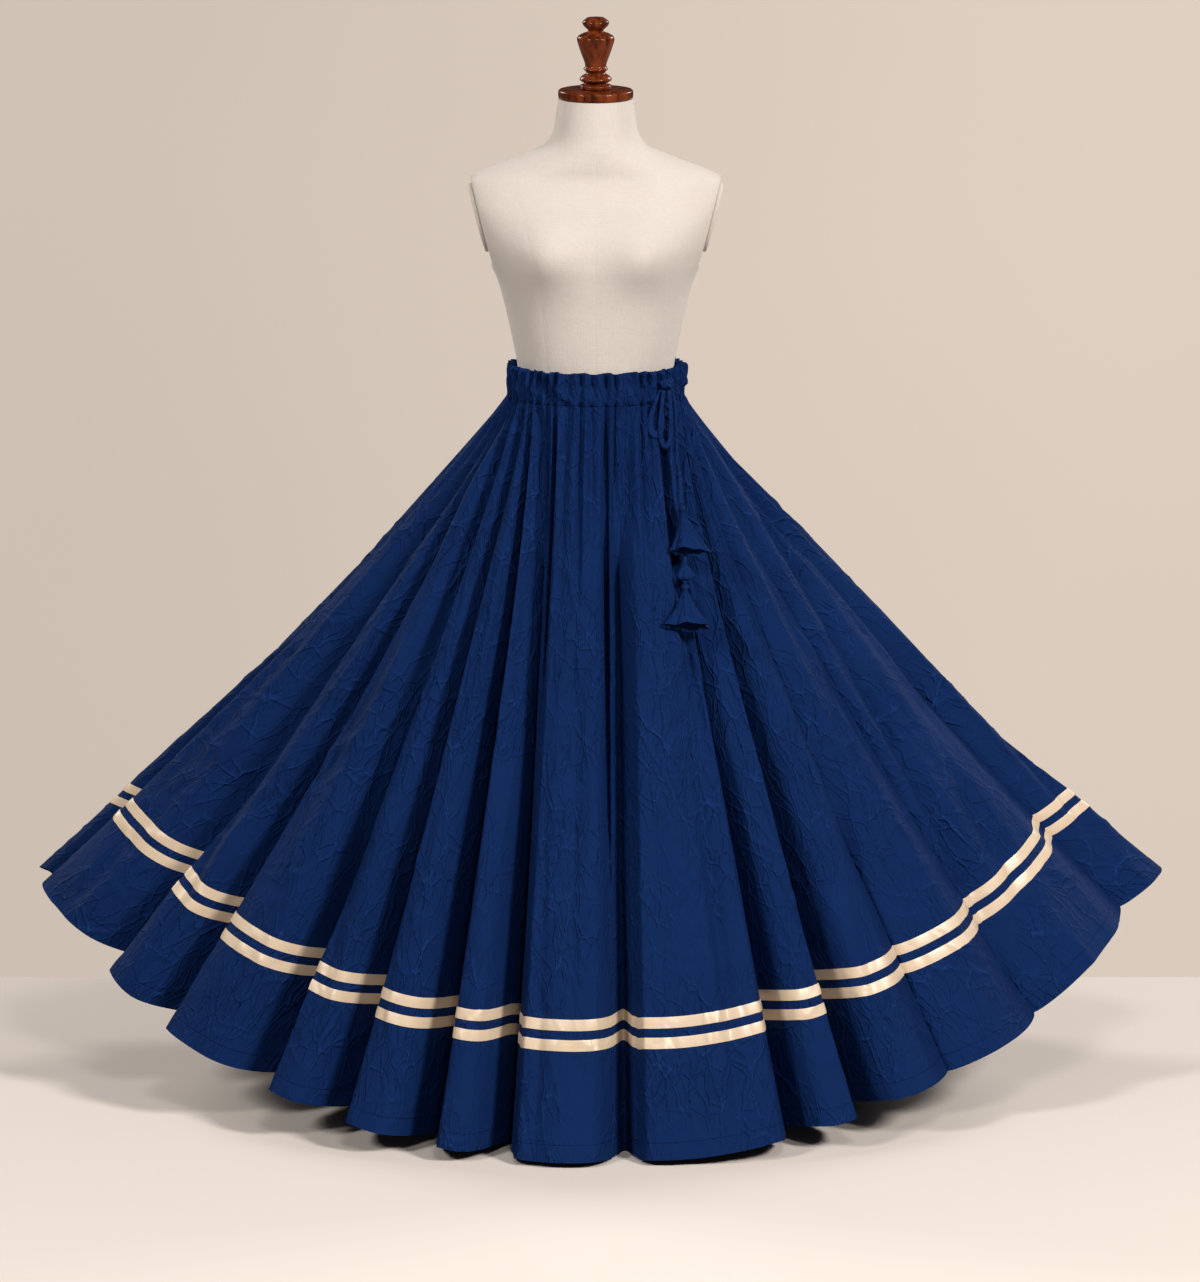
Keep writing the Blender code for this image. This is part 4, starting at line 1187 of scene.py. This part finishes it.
def swept_tie(name, path, half_width, half_depth, opening, look):
    """Flat folded tie along a path, its broad side towards the front, wider by the opening at its middle."""
    tangents = np.gradient(path, axis=0)
    tangents /= np.linalg.norm(tangents, axis=1, keepdims=True)
    facing = np.array((0.25, -1.0, 0.15))
    broad = np.cross(tangents, facing)
    broad /= np.linalg.norm(broad, axis=1, keepdims=True)
    across = np.cross(broad, tangents)
    turn = 2.0 * np.pi * np.arange(CORD_SIDES) / CORD_SIDES
    edge = np.sign(np.cos(turn)) * np.abs(np.cos(turn)) ** 0.8
    swell = 1.0 - 0.18 * np.cos(turn) ** 8
    puckers = 1.0 + 0.05 * np.sin(np.arange(len(path)) * 1.1)[:, None]
    puckers = puckers + opening * np.sin(np.pi * np.linspace(0.0, 1.0, len(path)))[:, None] ** 2
    rings = (path[:, None, :] + broad[:, None, :] * (half_width * edge[None, :] * puckers)[:, :, None]
             + across[:, None, :] * (half_depth * np.sin(turn) * swell)[None, :, None])
    points = np.concatenate((path[:1], rings.reshape(-1, 3), path[-1:]))
    flat = np.zeros((len(points), 2))
    steps = np.repeat(np.arange(len(path)) * CORD_STEP, CORD_SIDES)
    flat[1:-1, 0] = np.tile(turn * half_width, len(path))
    flat[1:-1, 1] = steps
    return add_piece(name, points, turned_faces(len(path), CORD_SIDES), look, flat)


def turned_faces(rings, sides):
    """Faces of a closed round body: a first pole, rings of points and a last pole."""
    faces = []
    top = 1 + sides * (rings - 1)
    last = 1 + sides * rings
    for side in range(sides):
        after = (side + 1) % sides
        faces.append((0, 1 + after, 1 + side))
        faces.append((top + side, top + after, last))
        for ring in range(rings - 1):
            low = 1 + ring * sides
            high = low + sides
            faces.append((low + side, low + after, high + after, high + side))
    return faces


# The tie opens out flat in the two loops of the bow.
LOOP_OPENING = {"bow_loop_left": 0.85, "bow_loop_right": 0.35}


class SKIRT_OT_drawstring(bpy.types.Operator):
    """Builds the knot, the two bow loops and the two hanging ends of the drawstring"""
    bl_idname = "skirt.drawstring"
    bl_label = "Drawstring, bow and tassels"

    def execute(self, context):
        width = context.scene.skirt_sizes.cord_width
        look = cotton_material()
        finish_piece(tied_knot(look), "drawstring_knot")
        hung = {name: fluted_bell(name, *row, look) for name, *row in TASSELS}
        hung["tassel_bud"] = closed_bud(look)
        for name, piece in hung.items():
            finish_piece(piece, name)
        for name, route in CORDS:
            run_on = BUD_RUN if name == "drawstring_end_lower" else ()
            path = smooth_route(route + run_on, CORD_STEP)
            opening = LOOP_OPENING.get(name, 0.0)
            piece = swept_tie(f"cotton_{name}", path, 0.5 * width, 0.3 * width, opening, look)
            finish_piece(piece, name)
        return {"FINISHED"}


def tied_knot(look):
    """The drawstring's knot: a small ball of folded cotton, with a turn of the tie round it."""
    bpy.ops.object.select_all(action="DESELECT")
    bpy.ops.mesh.primitive_uv_sphere_add(segments=48, ring_count=32, radius=1.0)
    knot = bpy.context.object
    knot.name = "cotton_drawstring_knot"
    centre = Vector(KNOT_CENTRE)
    radii = Vector(KNOT_RADII)
    flat = []
    for vertex in knot.data.vertices:
        x, y, z = vertex.co
        turn = math.atan2(x, -y)
        folds = 0.90 + 0.07 * math.sin(5.0 * turn + 5.5 * z) + 0.05 * math.sin(2.0 * turn - 7.0 * z)
        band = math.exp(-((z * 0.94 + x * 0.34) / 0.30) ** 2)
        size = folds + 0.14 * band
        flat.append((turn * radii.x, z * radii.z))
        vertex.co = Vector((x * radii.x, y * radii.y, z * radii.z)) * size + centre
    knot.data.materials.append(look)
    give_cloth_coordinates(knot.data, flat)
    knot.data.shade_smooth()
    return knot


BELL_RINGS = 44
BELL_SIDES = 120
BELL_WALL = 0.0009
BELL_MOUTH = 0.45
BELL_TILT = 0.75
BELL_FLUTES = 6


def round_cotton(name, rings, turn, half_width, look):
    """Closed round body of cotton from its rings, with a pole at each end."""
    points = np.concatenate((rings[0].mean(axis=0)[None], rings.reshape(-1, 3), rings[-1].mean(axis=0)[None]))
    flat = np.zeros((len(points), 2))
    flat[1:-1, 0] = np.tile(turn * half_width, len(rings))
    flat[1:-1, 1] = np.repeat(rings.mean(axis=1)[:, 2], BELL_SIDES)
    return add_piece(f"cotton_{name}", points, turned_faces(len(rings), BELL_SIDES), look, flat, 60.0)


def fluted_bell(name, top, foot, half_width, flatness, turn_of_folds, look):
    """Tassel: a gathered bell of cotton with a tied head, open at its foot, pressed flat along Y."""
    top = np.array(top)
    foot = np.array(foot)
    outline = np.array(BELL_OUTLINE)
    shares = np.linspace(0.0, 1.0, BELL_RINGS)
    turn = 2.0 * np.pi * np.arange(BELL_SIDES) / BELL_SIDES
    uneven = (np.cos(BELL_FLUTES * turn + turn_of_folds) + 0.7 * np.cos(3.0 * turn + 2.0 * turn_of_folds)
              + 0.2 * np.cos(13.0 * turn - turn_of_folds))

    def ring(share, wall):
        radius = half_width * np.interp(share, outline[:, 1], outline[:, 0]) - wall
        open_up = max(0.0, (share - 0.12) / 0.88)
        flute = 0.06 * min(1.0, share * 8.0) + 0.09 * open_up
        tilt = BELL_TILT * open_up ** 2
        reach = max(radius, 0.0003) * (1.0 + flute * uneven)
        depth = flatness + (0.9 - flatness) * (1.0 - min(1.0, share * 4.0))
        front = np.array((0.0, -math.cos(tilt), math.sin(tilt)))
        drop = 0.0012 * open_up ** 4 * np.cos(5.0 * turn + turn_of_folds)
        centre = top + (foot - top) * share
        side = np.array((1.0, 0.0, 0.0))
        below = np.array((0.0, 0.0, -1.0))
        return (centre + (reach * np.cos(turn))[:, None] * side
                + (reach * depth * np.sin(turn))[:, None] * front + drop[:, None] * below)

    outside = [ring(share, 0.0) for share in shares]
    inside = [ring(share, BELL_WALL) for share in np.linspace(1.0, 1.0 - BELL_MOUTH, BELL_RINGS // 2)]
    return round_cotton(name, np.array(outside + inside)[::-1], turn, half_width, look)


def closed_bud(look):
    """Bud between the tassels: a closed, puckered pod of cotton."""
    top, foot, half_width, flatness = BUD
    top = np.array(top)
    foot = np.array(foot)
    outline = np.array(BUD_OUTLINE)
    turn = 2.0 * np.pi * np.arange(BELL_SIDES) / BELL_SIDES
    rings = []
    for share in np.linspace(1.0, 0.0, BELL_RINGS):
        radius = half_width * np.interp(share, outline[:, 1], outline[:, 0])
        flute = 0.05 + 0.10 * math.sin(math.pi * share)
        reach = radius * (1.0 + flute * (np.cos(8.0 * turn) + 0.5 * np.cos(5.0 * turn + 1.0)))
        centre = top + (foot - top) * share
        depth = -reach * flatness * np.sin(turn)
        rings.append(centre + np.stack((reach * np.cos(turn), depth, 0.0 * turn), axis=1))
    return round_cotton("tassel_bud", np.array(rings), turn, half_width, look)


# Dress form and stand

def turned_piece(name, profile, sides, look):
    """Turned body: a disc extruded up its profile, ring by ring, and resized at each one."""
    bpy.ops.object.select_all(action="DESELECT")
    radius, height = profile[0]
    bpy.ops.mesh.primitive_circle_add(
        vertices=sides, radius=radius, fill_type="NGON", location=(0.0, 0.0, height))
    bpy.ops.object.transform_apply(location=True, rotation=False, scale=False)
    piece = bpy.context.object
    piece.name = name
    bpy.ops.object.mode_set(mode="EDIT")
    bpy.ops.mesh.select_all(action="SELECT")
    for next_radius, next_height in profile[1:]:
        bpy.ops.mesh.extrude_region_move(TRANSFORM_OT_translate={"value": (0.0, 0.0, next_height - height)})
        share = next_radius / radius
        bpy.ops.transform.resize(value=(share, share, 1.0))
        radius, height = next_radius, next_height
    bpy.ops.mesh.select_all(action="SELECT")
    bpy.ops.mesh.normals_make_consistent(inside=False)
    bpy.ops.object.mode_set(mode="OBJECT")
    piece.data.materials.append(look)
    bpy.ops.object.shade_smooth_by_angle(angle=math.radians(38.0))
    return piece


class SKIRT_OT_wood(bpy.types.Operator):
    """Turns the dark neck disc and the finial"""
    bl_idname = "skirt.wood"
    bl_label = "Neck disc and finial"

    def execute(self, context):
        look = wood_material()
        disc = turned_piece("wood_neck_disc", DISC_PROFILE, 96, look)
        finish_piece(disc, "neck_disc")
        finial = turned_piece("wood_finial", smooth_points([np.array(point) for point in FINIAL], 5), 72, look)
        finish_piece(finial, "finial")
        return {"FINISHED"}


class SKIRT_OT_stand(bpy.types.Operator):
    """Turns the round base and the pole"""
    bl_idname = "skirt.stand"
    bl_label = "Pole and base"

    def execute(self, context):
        look = steel_material()
        base = turned_piece("steel_base", BASE_PROFILE, 128, look)
        finish_piece(base, "stand_base")
        low = BASE_PROFILE[-1][1] + SEAM_GAP
        high = TORSO[0][0] - SEAM_GAP
        profile = ((POLE_RADIUS * 0.92, low), (POLE_RADIUS, low + 0.001), (POLE_RADIUS, high - 0.001),
                   (POLE_RADIUS * 0.92, high))
        pole = turned_piece("steel_pole", profile, 48, look)
        finish_piece(pole, "stand_pole")
        return {"FINISHED"}


def torso_section(heights):
    """Half width, half depth and squareness of the torso at heights, smoothly between its sections."""
    table = np.array(TORSO)
    at = table[:, 0]
    index = np.clip(np.searchsorted(at, heights, side="right") - 1, 0, len(at) - 2)
    before = np.maximum(index - 1, 0)
    after = np.minimum(index + 2, len(at) - 1)
    share = ((heights - at[index]) / (at[index + 1] - at[index]))[:, None]
    run = (at[index + 1] - at[index])[:, None]
    p1, p2 = table[index, 1:], table[index + 1, 1:]
    start = (p2 - table[before, 1:]) / (at[index + 1] - at[before])[:, None] * run
    end = (table[after, 1:] - p1) / (at[after] - at[index])[:, None] * run
    return curve_between(p1, p2, start, end, share).T


# Princess seams: height and distance from the middle.
PRINCESS_SEAM = (
    (0.780, 0.074), (1.070, 0.068), (1.160, 0.076), (1.235, 0.088), (1.300, 0.106), (1.352, 0.121),
)
NECK_SEAM_Z = 1.3765
NECK_SEAM_DIP = 0.0095
SEAM_GROOVE = 0.0003
SEAM_HALF_WIDTH = 0.003
# A distance from the seam that puts no seam there.
NO_SEAM = 0.1
TORSO_COLUMNS = 200
TORSO_RINGS = 170


class SKIRT_OT_torso(bpy.types.Operator):
    """Builds the smooth linen torso with its sewn seams"""
    bl_idname = "skirt.torso"
    bl_label = "Torso"

    def execute(self, context):
        bpy.ops.object.select_all(action="DESELECT")
        low, high = TORSO[0][0], TORSO[-1][0]
        bpy.ops.mesh.primitive_circle_add(vertices=TORSO_COLUMNS, radius=1.0, fill_type="NGON",
                                          location=(0.0, 0.0, low))
        bpy.ops.object.transform_apply(location=True, rotation=False, scale=False)
        torso = bpy.context.object
        torso.name = "linen_torso"
        bpy.ops.object.mode_set(mode="EDIT")
        bpy.ops.mesh.select_all(action="SELECT")
        bpy.ops.mesh.extrude_repeat(steps=TORSO_RINGS, offset=(0.0, 0.0, (high - low) / TORSO_RINGS))
        bpy.ops.mesh.select_all(action="SELECT")
        bpy.ops.mesh.normals_make_consistent(inside=False)
        bpy.ops.object.mode_set(mode="OBJECT")
        shape_torso(torso.data)
        torso.data.materials.append(linen_material())
        bpy.ops.object.shade_smooth_by_angle(angle=math.radians(50.0))
        finish_piece(torso, "form_torso")
        return {"FINISHED"}


def shape_torso(mesh):
    """Moves the rings of a straight column to the torso's sections, and presses its seams in."""
    points = np.empty(len(mesh.vertices) * 3)
    mesh.vertices.foreach_get("co", points)
    points = points.reshape(-1, 3)
    height = np.clip(points[:, 2], TORSO[0][0], TORSO[-1][0])
    cosine, sine = points[:, 0], points[:, 1]
    half_width, half_depth, squareness = torso_section(height)
    x = half_width * np.sign(cosine) * np.abs(cosine) ** (2.0 / squareness)
    y = half_depth * np.sign(sine) * np.abs(sine) ** (2.0 / squareness)
    across = (np.abs(x) - BUST_X) / BUST_WIDTH
    up = (height - BUST_Z) / BUST_HEIGHT
    reach = BUST_REACH * np.exp(-across ** 2 - up ** 2) * np.clip(-y / 0.05, 0.0, 1.0)
    y = np.where(y < 0.0, y - reach, y)
    limit = ARM_TOP[0] - (ARM_TOP[1] - height) * ARM_SLOPE
    x = np.where(height >= ARM_LOW_Z, np.clip(x, -limit, limit), x)
    princess = np.array(PRINCESS_SEAM)
    from_princess = np.abs(np.abs(x) - np.interp(height, princess[:, 0], princess[:, 1]))
    neck = NECK_SEAM_Z - NECK_SEAM_DIP * np.clip(-sine, 0.0, 1.0) ** 1.5
    neck = neck + 0.5 * NECK_SEAM_DIP * np.clip(sine, 0.0, 1.0)
    from_neck = np.abs(height - neck)
    from_middle = np.abs(x) + np.where((height > neck) & (sine < 0.0), NO_SEAM, 0.0)
    from_side = np.abs(y) + np.where(height > ARM_LOW_Z - 0.01, NO_SEAM, 0.0)
    from_princess = from_princess + np.where(height > neck, NO_SEAM, 0.0)
    from_seam = np.minimum.reduce((from_princess, from_neck, from_middle, from_side))
    groove = SEAM_GROOVE * np.exp(-(from_seam / SEAM_HALF_WIDTH) ** 2)
    outward = np.stack((x / half_width ** 2, y / half_depth ** 2, 0.0 * x), axis=1)
    length = np.linalg.norm(outward, axis=1, keepdims=True)
    outward /= np.where(length > 0.0, length, 1.0)
    placed = np.stack((x, y, height), axis=1) - outward * groove[:, None]
    mesh.vertices.foreach_set("co", placed.ravel())
    # The distance from the seams is kept for the linen, which paints shade along the seams with it.
    seam = mesh.attributes.new("from_seam", "FLOAT", "POINT")
    seam.data.foreach_set("value", from_seam)
    mesh.update()


class SKIRT_OT_plates(bpy.types.Operator):
    """Covers the arm cuts of the torso with oval linen plates"""
    bl_idname = "skirt.plates"
    bl_label = "Armhole plates"

    def execute(self, context):
        for side, direction in (("left", -1.0), ("right", 1.0)):
            finish_piece(armhole_plate(side, direction), f"armhole_plate_{side}")
        return {"FINISHED"}


def armhole_plate(side, direction):
    """Oval plate with a rounded, sewn rim; direction is 1 for +X and -1 for -X."""
    tilt = math.atan(ARM_SLOPE)
    normal = Vector((direction * math.cos(tilt), 0.0, -math.sin(tilt)))
    middle = Vector((direction * (ARM_TOP[0] - (ARM_TOP[1] - PLATE_Z) * ARM_SLOPE), 0.0, PLATE_Z))
    bpy.ops.object.select_all(action="DESELECT")
    bpy.ops.mesh.primitive_cylinder_add(vertices=72, radius=1.0, depth=1.0)
    plate = bpy.context.object
    plate.name = f"linen_armhole_plate_{side}"
    plate.scale = (PLATE_HALF_HEIGHT, PLATE_HALF_DEPTH, PLATE_THICK)
    plate.rotation_euler = (0.0, direction * (0.5 * math.pi + tilt), 0.0)
    plate.location = middle + normal * (SEAM_GAP + 0.5 * PLATE_THICK)
    bpy.ops.object.transform_apply(location=True, rotation=True, scale=True)
    bpy.ops.object.mode_set(mode="EDIT")
    bpy.ops.mesh.select_all(action="DESELECT")
    bpy.ops.object.mode_set(mode="OBJECT")
    for face in plate.data.polygons:
        face.select = face.normal.dot(normal) > 0.9
    bpy.ops.object.mode_set(mode="EDIT")
    for thickness, depth in ((0.004, 0.0), (0.0012, -0.0005), (0.0012, 0.0005), (0.010, 0.0004)):
        bpy.ops.mesh.inset(thickness=thickness, depth=depth)
    bpy.ops.object.mode_set(mode="OBJECT")
    rounding = plate.modifiers.new("rounded_rim", "BEVEL")
    rounding.width = 0.0022
    rounding.segments = 4
    rounding.limit_method = "ANGLE"
    rounding.angle_limit = math.radians(60.0)
    bpy.ops.object.modifier_apply(modifier=rounding.name)
    seam = plate.data.attributes.new("from_seam", "FLOAT", "POINT")
    seam.data.foreach_set("value", [NO_SEAM] * len(plate.data.vertices))
    plate.data.materials.append(linen_material())
    bpy.ops.object.shade_smooth_by_angle(angle=math.radians(50.0))
    return plate


class SKIRT_OT_stage(bpy.types.Operator):
    """Sets the camera, the soft lights, the floor and the backdrop"""
    bl_idname = "skirt.stage"
    bl_label = "Stage"

    def execute(self, context):
        scene = context.scene
        stage = scene.skirt_stage
        set_camera(scene)
        set_backdrop(stage)
        set_lights(scene, stage)
        return {"FINISHED"}


def set_camera(scene):
    camera = bpy.data.cameras.new("photo_camera")
    camera.sensor_width = SENSOR
    camera.lens = CAMERA_FOCAL_PIXELS * SENSOR / PHOTO_HEIGHT
    camera.clip_end = 100.0
    holder = bpy.data.objects.new("photo_camera", camera)
    holder.location = CAMERA_PLACE
    holder.rotation_euler = (math.radians(90.0 - CAMERA_PITCH), 0.0, 0.0)
    scene.collection.objects.link(holder)
    scene.camera = holder


FLOOR_SIZE = 40.0
WALL_Y = 0.72


def floor_material(colour):
    """Plain floor in full colour to the camera, and darker to the light that it throws back on the cloth."""
    made, tree, surface = blank_material("pale_floor", {"Roughness": 0.45, "Specular IOR Level": 0.25})
    place_on = object_place(tree)
    shown = colour_mix(tree, noise(tree, place_on, 0.9, 4.0), scaled(colour, 0.97), tuple(colour))
    seen = place(tree, "ShaderNodeLightPath").outputs["Is Camera Ray"]
    tree.links.new(colour_mix(tree, seen, scaled(colour, 0.35), shown), surface.inputs["Base Color"])
    return made


def set_backdrop(stage):
    bpy.ops.object.select_all(action="DESELECT")
    bpy.ops.mesh.primitive_plane_add(size=FLOOR_SIZE, location=(0.0, 0.0, 0.0))
    floor = bpy.context.object
    floor.name = "floor"
    floor.data.materials.append(floor_material(stage.floor))
    bpy.ops.mesh.primitive_plane_add(
        size=FLOOR_SIZE, location=(0.0, WALL_Y, 0.5 * FLOOR_SIZE), rotation=(math.pi / 2, 0.0, 0.0))
    wall = bpy.context.object
    wall.name = "backdrop"
    wall.data.materials.append(wall_material(stage.wall))
    for way in ("diffuse", "glossy", "transmission", "volume_scatter", "shadow"):
        setattr(wall, f"visible_{way}", False)


def wall_material(colour):
    """Glowing backdrop with painted light, a little paler at the right and with painted shade darker near the
    floor, that is clear from behind.
    """
    made = bpy.data.materials.new("warm_wall")
    made.use_nodes = True
    tree = made.node_tree
    tree.nodes.remove(tree.nodes["Principled BSDF"])
    place_on = object_place(tree)
    axes = place(tree, "ShaderNodeSeparateXYZ", {0: place_on})
    # Painted light: the backdrop grows paler towards the right.
    across = remap(tree, axes.outputs[0], (-0.9, 0.9), curve="SMOOTHSTEP")
    # Painted shade: the backdrop grows darker over its lowest 1.2 m, near the floor.
    upward = remap(tree, axes.outputs[1], (-20.0, -18.8))
    height = math_node(tree, "MULTIPLY", math_node(tree, "SUBTRACT", upward, 1.0), 0.25)
    tone = math_node(tree, "ADD", math_node(tree, "MULTIPLY", across, 0.75),
                     math_node(tree, "MULTIPLY", noise(tree, place_on, 0.8, 3.0), 0.35))
    tone = math_node(tree, "MAXIMUM", math_node(tree, "ADD", tone, height), 0.0)
    # The painted light and painted shade, with random mottling, set the colour that the backdrop glows with.
    shade = colour_mix(tree, tone, scaled(colour, 0.82), tuple(colour))
    glow = place(tree, "ShaderNodeEmission", {"Color": shade})
    clear = place(tree, "ShaderNodeBsdfTransparent")
    behind = place(tree, "ShaderNodeNewGeometry").outputs["Backfacing"]
    seen = place(tree, "ShaderNodeMixShader", {0: behind, 1: glow.outputs[0], 2: clear.outputs[0]})
    tree.links.new(seen.outputs[0], tree.nodes["Material Output"].inputs["Surface"])
    return made


LIGHT_AIM = (0.0, 0.0, 0.6)
LIGHT_COLOUR = (1.0, 0.975, 0.945)
LIGHTS = (
    # name, place, its setting of power, size
    ("right", (4.9, -4.9, 5.0), "right_power", 1.6),
    ("left", (-4.9, -4.9, 5.0), "left_power", 1.6),
    ("front", (0.9, -5.6, 5.6), "front_power", 1.4),
    ("back_right", (4.6, 4.6, 3.9), "back_power", 2.4),
    ("back_left", (-4.6, 4.6, 3.9), "back_power", 2.4),
)


def set_lights(scene, stage):
    for name, stands_at, power, size in LIGHTS:
        light = bpy.data.lights.new(name, "AREA")
        light.shape = "DISK"
        light.size = size
        light.energy = getattr(stage, power)
        light.color = LIGHT_COLOUR
        holder = bpy.data.objects.new(name, light)
        holder.location = stands_at
        holder.rotation_euler = (Vector(LIGHT_AIM) - Vector(stands_at)).to_track_quat("-Z", "Y").to_euler()
        scene.collection.objects.link(holder)
    world = bpy.data.worlds.new("soft_room")
    world.use_nodes = True
    background = world.node_tree.nodes["Background"]
    background.inputs["Color"].default_value = (1.0, 0.955, 0.90, 1.0)
    background.inputs["Strength"].default_value = stage.air
    scene.world = world
    scene.view_settings.view_transform = "Standard"


class VIEW3D_PT_skirt(bpy.types.Panel):
    bl_label = "Maxi skirt"
    bl_space_type = "VIEW_3D"
    bl_region_type = "UI"
    bl_category = "Skirt"

    def draw(self, context):
        for operator in OPERATORS:
            self.layout.operator(operator.bl_idname)
        for settings in (context.scene.skirt_sizes, context.scene.skirt_colours, context.scene.skirt_stage):
            box = self.layout.box()
            for key in settings.__annotations__:
                box.prop(settings, key)


OPERATORS = (SKIRT_OT_stage, SKIRT_OT_torso, SKIRT_OT_plates, SKIRT_OT_wood, SKIRT_OT_stand, SKIRT_OT_gores,
             SKIRT_OT_casing, SKIRT_OT_ribbons, SKIRT_OT_drawstring)
CLASSES = (SkirtSizes, SkirtColours, StageSettings, *OPERATORS, VIEW3D_PT_skirt)


def register():
    for item in CLASSES:
        bpy.utils.register_class(item)
    bpy.types.Scene.skirt_sizes = PointerProperty(type=SkirtSizes)
    bpy.types.Scene.skirt_colours = PointerProperty(type=SkirtColours)
    bpy.types.Scene.skirt_stage = PointerProperty(type=StageSettings)


def unregister():
    del bpy.types.Scene.skirt_stage
    del bpy.types.Scene.skirt_colours
    del bpy.types.Scene.skirt_sizes
    for item in reversed(CLASSES):
        bpy.utils.unregister_class(item)


def main():
    register()
    bpy.ops.skirt.stage()
    bpy.ops.skirt.torso()
    bpy.ops.skirt.plates()
    bpy.ops.skirt.wood()
    bpy.ops.skirt.stand()
    bpy.ops.skirt.gores()
    bpy.ops.skirt.casing()
    bpy.ops.skirt.ribbons()
    bpy.ops.skirt.drawstring()


if __name__ == "__main__":
    main()
